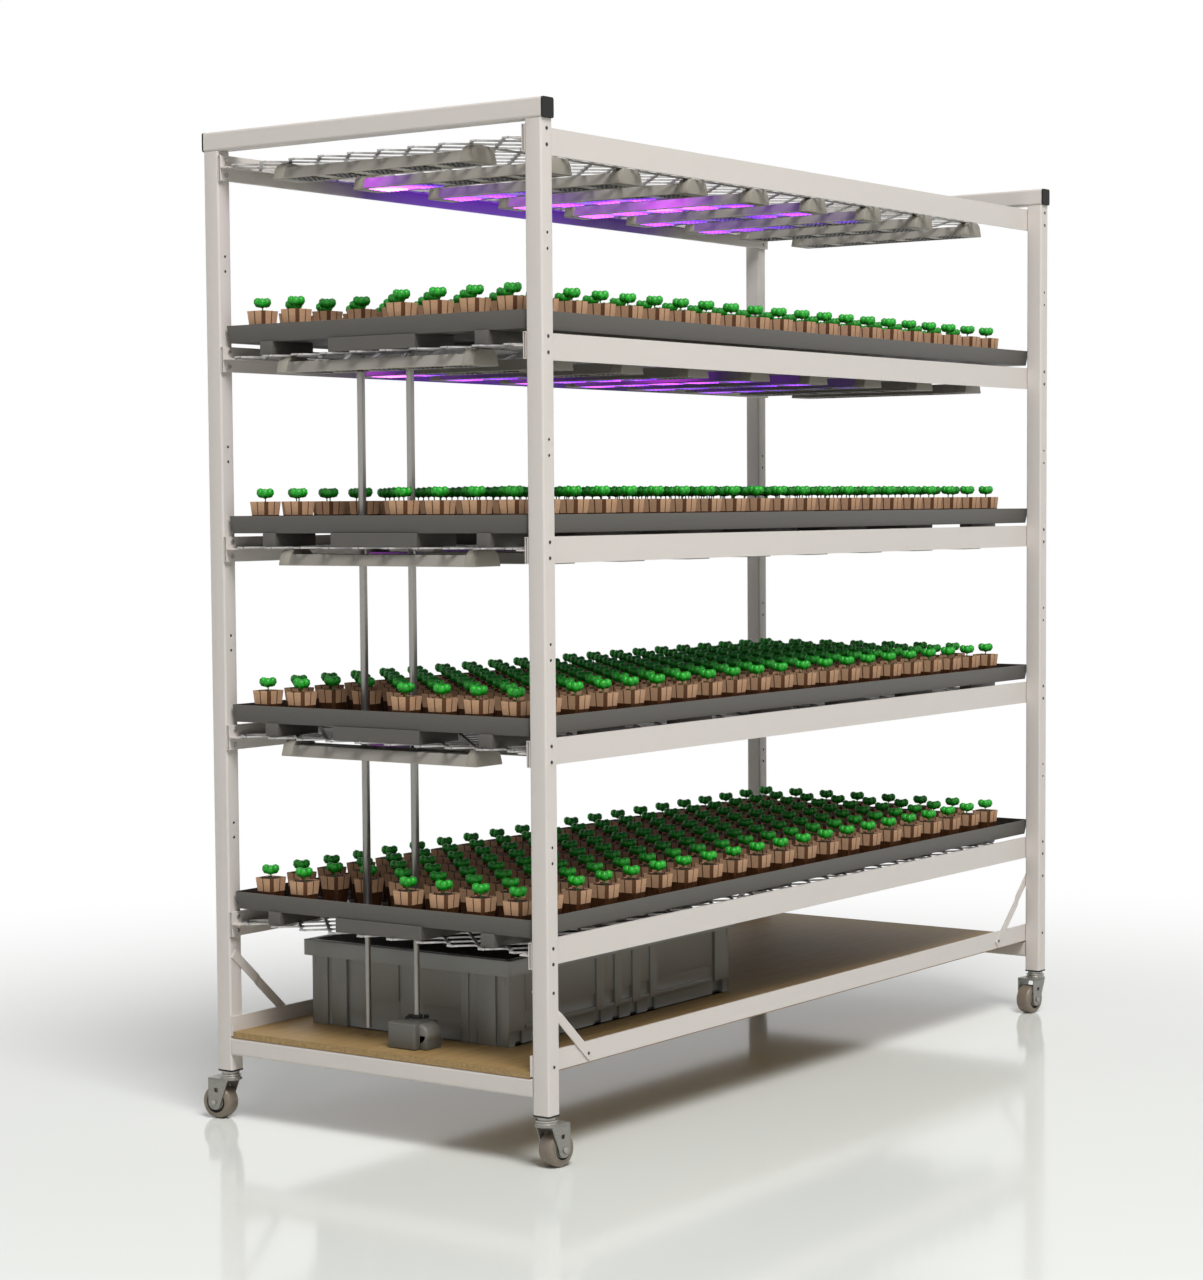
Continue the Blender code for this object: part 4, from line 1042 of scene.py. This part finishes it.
class BENCH_OT_crop(bpy.types.Operator):
    """Fills each tray with rows of pots and their seedlings"""

    bl_idname = "bench.crop"
    bl_label = "Pots and seedlings"

    def execute(self, context):
        first, pitch_x, pitch_y = crop_grid()
        models = {"pots": model_pot(), "seedlings": model_seedling(context.scene.bench_sizes)}
        for piece in models.values():
            shift(piece, first.x, first.y, 0)
            repeat(piece, POT_COLUMNS, x=pitch_x)
            repeat(piece, POT_ROWS, y=pitch_y)
            drop_missing(piece, first, pitch_x, pitch_y)
        for tier in PLANTED:
            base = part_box(f"crop_{tier}")[0].z
            for name, piece in models.items():
                nodes, smooth = ([f"crop_{tier}"], 30) if name == "pots" else ([], 80)
                hand_over(copy_of(piece, f"{name}_{tier}", (0, 0, base)), nodes, smooth)
        remove(*models.values())
        return {"FINISHED"}


# Water gear

TUB_PROUD = 0.017
TUB_RIM_HEIGHT = 0.038
TUB_FOOT, TUB_LEDGE, TUB_SHOULDER = 0.034, 0.045, 0.078
TUB_CORNER, TUB_GROOVE = 0.064, 0.008
TUB_RIBS = (-0.108, -0.026, 0.055, 0.137)
TUB_RIB_WIDTH = 0.032
TUB_RIM_CORNER, TUB_WALL, TUB_FLOOR = 0.010, 0.007, 0.004

# Strips of the tub's short sides from the back: where each ends, as a share of the width, and its depth
TUB_END_STRIPS = (
    (0.08, 0.0), (0.105, 0.006), (0.18, 0.0), (0.28, 0.010), (0.445, 0.004), (0.56, 0.010),
    (0.765, 0.004), (0.80, 0.0), (0.845, 0.006), (0.935, 0.0), (0.95, 0.006), (1.0, 0.0),
)


def model_tub():
    """An open tub with corner blocks, ribs between sunk panels, a stepped foot and a deep rim."""
    low, high = TUB_LOW, TUB_HIGH
    start = Vector((low.x + TUB_PROUD, low.y + TUB_PROUD, low.z))
    end = Vector((high.x - TUB_PROUD, high.y - TUB_PROUD, high.z))
    middle = (start + end) / 2
    under_rim = high.z - TUB_RIM_HEIGHT
    ribs = [middle.x + share * (end.x - start.x) for share in TUB_RIBS]
    width = end.y - start.y

    body = block("tub", start, end)
    edit(body)
    slice_at("Z", under_rim, *(low.z + rise for rise in (TUB_FOOT, TUB_LEDGE, TUB_SHOULDER)))
    slice_at("X", *(x + side * TUB_RIB_WIDTH / 2 for x in ribs for side in (-1, 1)))
    for corner in (TUB_CORNER, TUB_CORNER + TUB_GROOVE, TUB_CORNER * 0.4):
        slice_at("X", start.x + corner, end.x - corner)
    slice_at("Y", *(end.y - share * width for share, _ in TUB_END_STRIPS[:-1]))

    def long_depth(c):
        rise = c.z - low.z
        from_end = min(c.x - start.x, end.x - c.x)
        on_block = from_end < TUB_CORNER or min(abs(c.x - x) for x in ribs) < TUB_RIB_WIDTH / 2
        if c.z > under_rim:
            return 0.0
        if rise < TUB_FOOT:
            outer_corner = from_end < TUB_CORNER * 0.4
            return 0.002 if outer_corner else 0.018 if on_block else 0.010
        if on_block:
            return 0.0
        if from_end < TUB_CORNER + TUB_GROOVE:
            return 0.010
        return 0.003 if rise < TUB_LEDGE else 0.010 if rise < TUB_SHOULDER else 0.005

    def end_depth(c):
        share = (end.y - c.y) / width
        depth = next(deep for stop, deep in TUB_END_STRIPS if share < stop)
        if c.z > under_rim:
            return 0.0
        return 0.009 if depth == 0.004 and c.z - low.z < TUB_SHOULDER else depth

    for side in (-1, 1):
        carve(body, (0, side, 0), long_depth)
        carve(body, (side, 0, 0), end_depth)
    pick_faces(body, lambda c, n: abs(n.z) < 0.1 and c.z > under_rim)
    swell(TUB_PROUD)
    half_x, half_y = (high.x - low.x) / 2, (high.y - low.y) / 2

    def rim_corner(a, b):
        from_corner = max(half_x - abs(a.x - middle.x), half_y - abs(a.y - middle.y))
        return upright(a, b) and min(a.z, b.z) > under_rim - MM and from_corner < MM

    pick_edges(body, rim_corner)
    bevel(TUB_RIM_CORNER, 4)
    pick_faces(body, lambda c, n: n.z > 0.9 and c.z > high.z - MM)
    inset(TUB_PROUD + TUB_WALL)
    extrude(z=-(high.z - low.z - TUB_FLOOR))
    scale_picked(0.975, 0.965, 1, middle)
    done()
    return round_off(body, "polyethylene", 0.002)


class BENCH_OT_tub(bpy.types.Operator):
    """Builds the reservoir tub"""

    bl_idname = "bench.tub"
    bl_label = "Reservoir tub"

    def execute(self, context):
        hand_over(model_tub(), ["reservoir_tub"])
        return {"FINISHED"}


# Knobs on the pump, from the outlet: X, Y and radius
PUMP_KNOBS = ((0.004, 0.024, 0.008), (-0.020, 0.014, 0.006), (0.022, -0.010, 0.006))
PIPE_WALL, PIPE_HOLLOW, PIPE_STEP, THIN_SHARE = 0.0015, 0.05, 0.004, 0.72


def model_pump():
    """A rounded box, its motor cover on a foot in front, and the outlet with its vent knobs."""
    low, high = PUMP_LOW, PUMP_HIGH
    overhang, outlet, outlet_radius, motor = 0.025, 0.008, 0.0135, 0.026
    top = high.z - outlet
    body = block("pump_body", (low.x, low.y + overhang, low.z), (high.x, high.y, top))
    edit(body)
    pick_edges(body, upright)
    bevel(0.007, 4)
    pick_faces(body, upward)
    inset(0.004)
    bpy.ops.transform.translate(value=(0, 0, -TIGHT))
    done()
    round_off(body, "pump ABS", 0.005, 3)

    middle_x = (low.x + high.x) / 2
    half = 0.029
    cover = rod("pump_cover", (middle_x, low.y + motor, top - motor - 0.002), motor, 2 * half, "X", 40)
    round_off(cover, "cover ABS", 0.007, 3)
    foot_low = (middle_x - half, low.y + 0.003, low.z)
    foot = block("pump_foot", foot_low, (middle_x + half, low.y + overhang + MM, top - motor))
    round_off(foot, "pump ABS", 0.003)

    supply_low, supply_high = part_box("supply_pipe")
    spot = (supply_low + supply_high) / 2
    seat = (spot.x, spot.y, high.z - outlet + TIGHT / 2)
    collar = rod("pump_outlet", seat, outlet_radius, 2 * outlet - TIGHT, "Z", 32)
    round_off(collar, "black nylon", 0.0015)
    knobs = []
    for aside, across, radius in PUMP_KNOBS:
        knob = rod("pump_knob", (spot.x + aside, spot.y + across, top + MM), radius, 0.010, "Z", 24)
        knobs.append(round_off(knob, "black nylon", 0.003, 3))
    return join("pump_housing", cover, foot, collar, *knobs, body)


class BENCH_OT_pump(bpy.types.Operator):
    """Builds the pump and the two upright pipes"""

    bl_idname = "bench.pump"
    bl_label = "Pump and pipes"

    def execute(self, context):
        hand_over(model_pump(), ["pump"])
        neck = LOWEST_DECK_LOW.z
        for name in PIPES:
            low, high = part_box(name)
            centre, radius = (low + high) / 2, (high.x - low.x) / 2
            pipe = rod(f"{name}_tube", centre, radius, high.z - low.z, "Z", 40)
            edit(pipe)
            slice_at("Z", neck, neck + PIPE_STEP)
            dish(pipe, upward, PIPE_WALL, z=-PIPE_HOLLOW)
            dish(pipe, downward, PIPE_WALL, z=PIPE_HOLLOW)
            pick_faces(pipe, lambda c, n: c.z < neck)
            scale_picked(THIN_SHARE, THIN_SHARE, 1, centre)
            done()
            coat(pipe, "pipe")
            hand_over(pipe, [name])
        return {"FINISHED"}


# Casters

WHEEL_RADIUS = (WHEEL_HIGH.z - WHEEL_LOW.z) / 2
AXLE_HEIGHT = WHEEL_RADIUS
RACE_TOP = PLATE_BOTTOM - 0.0003
CROWN_TOP = RACE_TOP - 0.010
CROWN_THICKNESS = 0.0045
CROWN_BOTTOM = CROWN_TOP - CROWN_THICKNESS
RACE_RADIUS, RACE_GROOVE = 0.026, 0.0014
KINGPIN_RADIUS, KINGPIN_LENGTH = 0.006, 0.030
TRAIL = 0.031
CHEEK_INNER, CHEEK_OUTER = 0.0245, 0.028
LEG_RADIUS = 0.018
CHEEK_LEAD = 0.010
TYRE_HALF = 0.0215
HUB_HALF = 0.0225
RING_INNER, RING_OUTER = 0.0195, 0.0240
AXLE_RADIUS, AXLE_HEAD_RADIUS, AXLE_HEAD_THICKNESS = 0.004, 0.007, 0.004


def model_cheek():
    """The fork's side plate on the -Y side: a round leg at the axle, spreading up to the crown."""
    back = TRAIL + LEG_RADIUS
    middle = -(CHEEK_INNER + CHEEK_OUTER) / 2
    cheek = rod("cheek", (TRAIL, middle, AXLE_HEIGHT), LEG_RADIUS, CHEEK_OUTER - CHEEK_INNER, "Y", 32)
    top = CROWN_BOTTOM + CROWN_THICKNESS / 2
    edit(cheek)
    pick_faces(cheek, lambda c, n: abs(n.y) < 0.5 and n.z > 0)
    extrude(z=top - AXLE_HEIGHT)
    scale_picked(1, 1, 0, (back, middle, top))
    scale_picked((back + CHEEK_LEAD) / (2 * LEG_RADIUS), 1, 1, (back, middle, top))
    done()
    sill = AXLE_HEIGHT + 0.026
    cut(cheek, block("window", (TRAIL - 0.011, -0.040, sill), (TRAIL, -0.015, sill + 0.010)))
    soften(cheek, 0.0006, 1, 60)
    return cheek


def model_fork():
    """The pressed fork with its race and pin on the Z axis, trailing towards +X."""
    back = TRAIL + LEG_RADIUS
    middle = (CROWN_BOTTOM + CROWN_TOP) / 2
    crown = rod("crown", (0, 0, middle), CHEEK_OUTER, CROWN_THICKNESS, "Z", 48)
    edit(crown)
    pick_faces(crown, lambda c, n: abs(n.z) < 0.5 and n.x > 0)
    extrude(x=back)
    scale_picked(0, 1, 1, (back, 0, middle))
    done()
    soften(crown, 0.0014, 3)

    cheek = model_cheek()
    twin = copy_of(cheek, "cheek_twin", (0, CHEEK_INNER + CHEEK_OUTER, 0))

    race_middle = (CROWN_TOP + RACE_TOP) / 2
    race = rod("race", (0, 0, race_middle - TIGHT), RACE_RADIUS, RACE_TOP - CROWN_TOP + 2 * TIGHT, "Z", 48)
    edit(race)
    slice_at("Z", race_middle - RACE_GROOVE, race_middle + RACE_GROOVE)
    pick_faces(race, lambda c, n: abs(c.z - race_middle) < MM and abs(n.z) < 0.5)
    swell(-0.0025)
    done()
    round_off(race, "zinc", 0.0014, 3)
    pin = rod("pin", (0, 0, RACE_TOP + KINGPIN_LENGTH / 2 - MM), KINGPIN_RADIUS, KINGPIN_LENGTH, "Z", 24)
    round_off(pin, "zinc", 0.001, 1)
    for piece in (crown, cheek, twin):
        coat(piece, "fork zinc")
    return join("fork", cheek, twin, race, pin, crown)


def model_wheel():
    """The tyre on its hub, turned about the Y axis through the origin, with the axle bolt."""
    tyre = rod("tyre", (0, 0, 0), WHEEL_RADIUS, 2 * TYRE_HALF, "Y", 64)
    edit(tyre)
    pick_faces(tyre, lambda c, n: abs(n.y) > 0.9)
    bevel(0.010, 6)
    for side in (-1, 1):
        pick_faces(tyre, lambda c, n: n.y * side > 0.99)
        inset(0.0075)
        extrude(y=-side * 0.004)
    done()
    coat(tyre, "tyre")

    def ring(c, n):
        return abs(c.y) < TYRE_HALF - MM and math.hypot(c.x, c.z) < RING_OUTER + MM

    coat_faces(tyre, "black nylon", ring)

    hub = rod("hub", (0, 0, 0), RING_INNER, 2 * TYRE_HALF - 0.002, "Y", 40)
    edit(hub)
    for side in (-1, 1):
        pick_faces(hub, lambda c, n: n.y * side > 0.9)
        inset(0.008)
        extrude(y=side * (HUB_HALF - TYRE_HALF + MM))
    done()
    round_off(hub, "hub", 0.0008)

    axle = rod("axle", (0, 0, 0), AXLE_RADIUS, 2 * CHEEK_OUTER, "Y", 24)
    heads = []
    seat = CHEEK_OUTER + 0.0003 + AXLE_HEAD_THICKNESS / 2
    for side, sides in ((-1, 32), (1, 6)):
        head = rod("axle_head", (0, side * seat, 0), AXLE_HEAD_RADIUS, AXLE_HEAD_THICKNESS, "Y", sides)
        soften(head, 0.0012)
        heads.append(head)
    bolt = coat(join("axle_bolt", axle, *heads), "zinc")
    return join("wheel", hub, bolt, tyre)


class BENCH_OT_casters(bpy.types.Operator):
    """Builds the four swivel casters at the way each one trails"""

    bl_idname = "bench.casters"
    bl_label = "Casters"

    def execute(self, context):
        fork, wheel = model_fork(), model_wheel()
        for corner, sx, sy in CORNERS:
            low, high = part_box(f"caster_wheel_{corner}")
            hub = (low + high) / 2
            pivot = Vector((sx * POST_X, FRAME_MIDDLE + sy * POST_Y, 0.0))
            turn = math.atan2(hub.y - pivot.y, hub.x - pivot.x)
            piece = copy_of(fork, f"pressed_fork_{corner}", pivot, turn)
            hand_over(piece, [f"caster_fork_{corner}"], body=f"swivel_{corner}")
            piece = copy_of(wheel, f"tyred_wheel_{corner}", hub, turn)
            hand_over(piece, [f"caster_wheel_{corner}"], body=f"wheel_{corner}")
        remove(fork, wheel)
        return {"FINISHED"}


# Stage

FLOOR_SIZE = 80.0
CLEAR_MIDDLE, CLEAR_REACH, WHITE_REACH = (-0.6, -0.45, 0), 1.4, 4.6
ROOM_LIGHT = 0.25
KEY_PLACE, KEY_AIM, KEY_SIZE, KEY_POWER = (-5.4, -7.0, 13.0), (0, 0, 1.0), 6.0, 2050.0
CAMERA_PLACE = (-6.3876, -4.33361, 1.50456)
CAMERA_YAW, CAMERA_PITCH, CAMERA_ROLL = 0.9474, 0.0663, -0.0074
LENS, SENSOR_WIDTH, SHIFT_X, SHIFT_Y = 80.90, 36.0, 0.0140, 0.0425


def seen_directly(tree):
    """1 where the camera or a glossy reflection looks, 0 for all other light."""
    ray = add(tree, "ShaderNodeLightPath")
    looks = {0: ray.outputs["Is Camera Ray"], 1: ray.outputs["Is Glossy Ray"]}
    return add(tree, "ShaderNodeMath", looks, operation="MAXIMUM").outputs["Value"]


def polished_floor():
    """A polished floor whose reflections fade to plain white away from the bench."""
    made, tree, shader = blank("polished_pale_floor")
    shader.inputs["Base Color"].default_value = (*tint("E8EAE5"), 1)
    shader.inputs["Roughness"].default_value = 0.10
    shader.inputs["Specular IOR Level"].default_value = 0.15
    place = add(tree, "ShaderNodeTexCoord").outputs["Object"]
    beside = {0: place, 1: CLEAR_MIDDLE}
    away = add(tree, "ShaderNodeVectorMath", beside, operation="DISTANCE").outputs["Value"]
    far = {"Value": away, "From Min": CLEAR_REACH, "From Max": WHITE_REACH}
    fade = add(tree, "ShaderNodeMapRange", far, interpolation_type="SMOOTHSTEP").outputs["Result"]
    shares = {0: fade, 1: seen_directly(tree)}
    amount = add(tree, "ShaderNodeMath", shares, operation="MULTIPLY").outputs["Value"]
    white = add(tree, "ShaderNodeEmission", {"Color": (1, 1, 1, 1), "Strength": 1.0}).outputs["Emission"]
    both = add(tree, "ShaderNodeMixShader", {0: amount, 1: shader.outputs["BSDF"], 2: white})
    tree.links.new(both.outputs["Shader"], tree.nodes["Material Output"].inputs["Surface"])
    return made


def white_room(strength):
    """A world that lights softly and is plain white where the camera or a glossy surface sees it."""
    world = bpy.data.worlds.new("soft_white_room")
    world.use_nodes = True
    tree = world.node_tree
    level = {"Value": seen_directly(tree), "To Min": strength, "To Max": 1.0}
    shown = add(tree, "ShaderNodeMapRange", level).outputs["Result"]
    tree.links.new(shown, tree.nodes["Background"].inputs["Strength"])
    tree.nodes["Background"].inputs["Color"].default_value = (1, 1, 1, 1)
    return world


class BENCH_OT_stage(bpy.types.Operator):
    """Lays the floor, hangs the lights and sets the camera"""

    bl_idname = "bench.stage"
    bl_label = "Stage"

    def execute(self, context):
        select_nothing()
        bpy.ops.mesh.primitive_plane_add(size=FLOOR_SIZE)
        floor = settle("floor")
        coat(floor, "floor")
        context.scene.world = white_room(ROOM_LIGHT)

        spot = Vector(KEY_PLACE)
        select_nothing()
        bpy.ops.object.light_add(type="AREA", location=spot)
        lamp = bpy.context.active_object
        lamp.name = lamp.data.name = "key_light"
        lamp.data.shape = "SQUARE"
        lamp.data.size = KEY_SIZE
        lamp.data.energy = KEY_POWER
        lamp.rotation_euler = (Vector(KEY_AIM) - spot).to_track_quat("-Z", "Y").to_euler()

        level = Vector((math.cos(CAMERA_YAW), -math.sin(CAMERA_YAW), 0.0))
        ahead = Vector((math.sin(CAMERA_YAW), math.cos(CAMERA_YAW), 0.0)) * math.cos(CAMERA_PITCH)
        forward = ahead - Vector((0.0, 0.0, math.sin(CAMERA_PITCH)))
        above = level.cross(forward)
        right = level * math.cos(CAMERA_ROLL) + above * math.sin(CAMERA_ROLL)
        up = above * math.cos(CAMERA_ROLL) - level * math.sin(CAMERA_ROLL)
        select_nothing()
        bpy.ops.object.camera_add()
        camera = bpy.context.active_object
        turned = Matrix((right, up, -forward)).transposed().to_4x4()
        camera.matrix_world = Matrix.Translation(CAMERA_PLACE) @ turned
        camera.data.sensor_width = SENSOR_WIDTH
        camera.data.lens = LENS
        camera.data.shift_x, camera.data.shift_y = SHIFT_X, SHIFT_Y
        context.scene.camera = camera
        context.scene.view_settings.view_transform = "Standard"
        return {"FINISHED"}


# The add-on


def panel_length(name, description, default):
    """A length in metres for the panel."""
    return bpy.props.FloatProperty(name=name, description=description, default=default, unit="LENGTH")


def panel_colour(name, description, code):
    """A colour for the panel, from its hex code."""
    return bpy.props.FloatVectorProperty(
        name=name, description=description, default=tint(code), subtype="COLOR", size=3)


class BenchSizes(bpy.types.PropertyGroup):
    tube_corner: panel_length("Tube corner", "Outer corner radius of the square tube", 0.005)
    hole_radius: panel_length("Hole radius", "Radius of the holes down each post", 0.0035)
    diamond_length: panel_length(
        "Diamond length", "Length of a diamond of the expanded metal along the bench", 0.095)
    diamond_width: panel_length(
        "Diamond width", "Width of a diamond of the expanded metal across the bench", 0.090)
    strand_width: panel_length("Strand", "Width of one strand of the expanded metal", 0.007)
    knot_width: panel_length("Knot", "How far the strands thicken beside a knot", 0.006)
    pipe_room: panel_length("Pipe room", "Clearance round a pipe in the mesh", 0.003)
    chip_groups: bpy.props.IntProperty(
        name="Chip groups", description="Groups of chips along a lamp", default=5, min=1, max=5)
    chips_per_group: bpy.props.IntProperty(
        name="Chips", description="Rows of chips in one group", default=5, min=1, max=12)
    chip_pitch: panel_length("Chip pitch", "Distance from chip to chip along a lamp", 0.014)
    chip_gap: panel_length("Chip gap", "Distance between two groups of chips", 0.056)
    seedling_width: panel_length("Seedling width", "Width of a seedling across its leaves", 0.045)
    seedling_height: panel_length("Seedling height", "Height of a seedling above its pot", 0.035)


class BenchColours(bpy.types.PropertyGroup):
    frame: panel_colour("Frame", "Powder coat of posts and rails", "D6CFC9")
    mesh: panel_colour("Mesh", "Galvanised expanded metal", "B4B2B0")
    tray: panel_colour("Trays", "Formed flood trays", "56534E")
    lamp: panel_colour("Lamps", "Lamp housings", "8F8A82")
    pot: panel_colour("Pots", "Pressed peat pots", "D2A783")
    leaf: panel_colour("Leaves", "Seedling leaves", "14B820")
    board: panel_colour("Board", "Plywood of the bottom deck", "AD9468")
    tub: panel_colour("Tub", "Moulded reservoir tub", "8C8C88")
    tyre: panel_colour("Tyres", "Solid caster tyres", "7D7164")


STEPS = (
    BENCH_OT_posts, BENCH_OT_rails, BENCH_OT_deck_screws, BENCH_OT_decks, BENCH_OT_trays, BENCH_OT_lamps,
    BENCH_OT_crop, BENCH_OT_tub, BENCH_OT_pump, BENCH_OT_casters, BENCH_OT_stage,
)


class BENCH_PT_panel(bpy.types.Panel):
    """Sizes, colours and steps of the grow bench"""

    bl_idname = "BENCH_PT_panel"
    bl_label = "Grow Bench"
    bl_space_type = "VIEW_3D"
    bl_region_type = "UI"
    bl_category = "Grow Bench"

    def draw(self, context):
        for group in (context.scene.bench_sizes, context.scene.bench_colours):
            for key in group.bl_rna.properties.keys():
                if key not in ("rna_type", "name"):
                    self.layout.prop(group, key)
        for operator in STEPS:
            self.layout.operator(operator.bl_idname)


def register():
    for each in (BenchSizes, BenchColours, *STEPS, BENCH_PT_panel):
        bpy.utils.register_class(each)
    bpy.types.Scene.bench_sizes = bpy.props.PointerProperty(type=BenchSizes)
    bpy.types.Scene.bench_colours = bpy.props.PointerProperty(type=BenchColours)


def unregister():
    del bpy.types.Scene.bench_colours
    del bpy.types.Scene.bench_sizes
    for each in (BENCH_PT_panel, *reversed(STEPS), BenchColours, BenchSizes):
        bpy.utils.unregister_class(each)


def main():
    register()
    for operator in STEPS:
        group, name = operator.bl_idname.split(".")
        getattr(getattr(bpy.ops, group), name)()


if __name__ == "__main__":
    main()
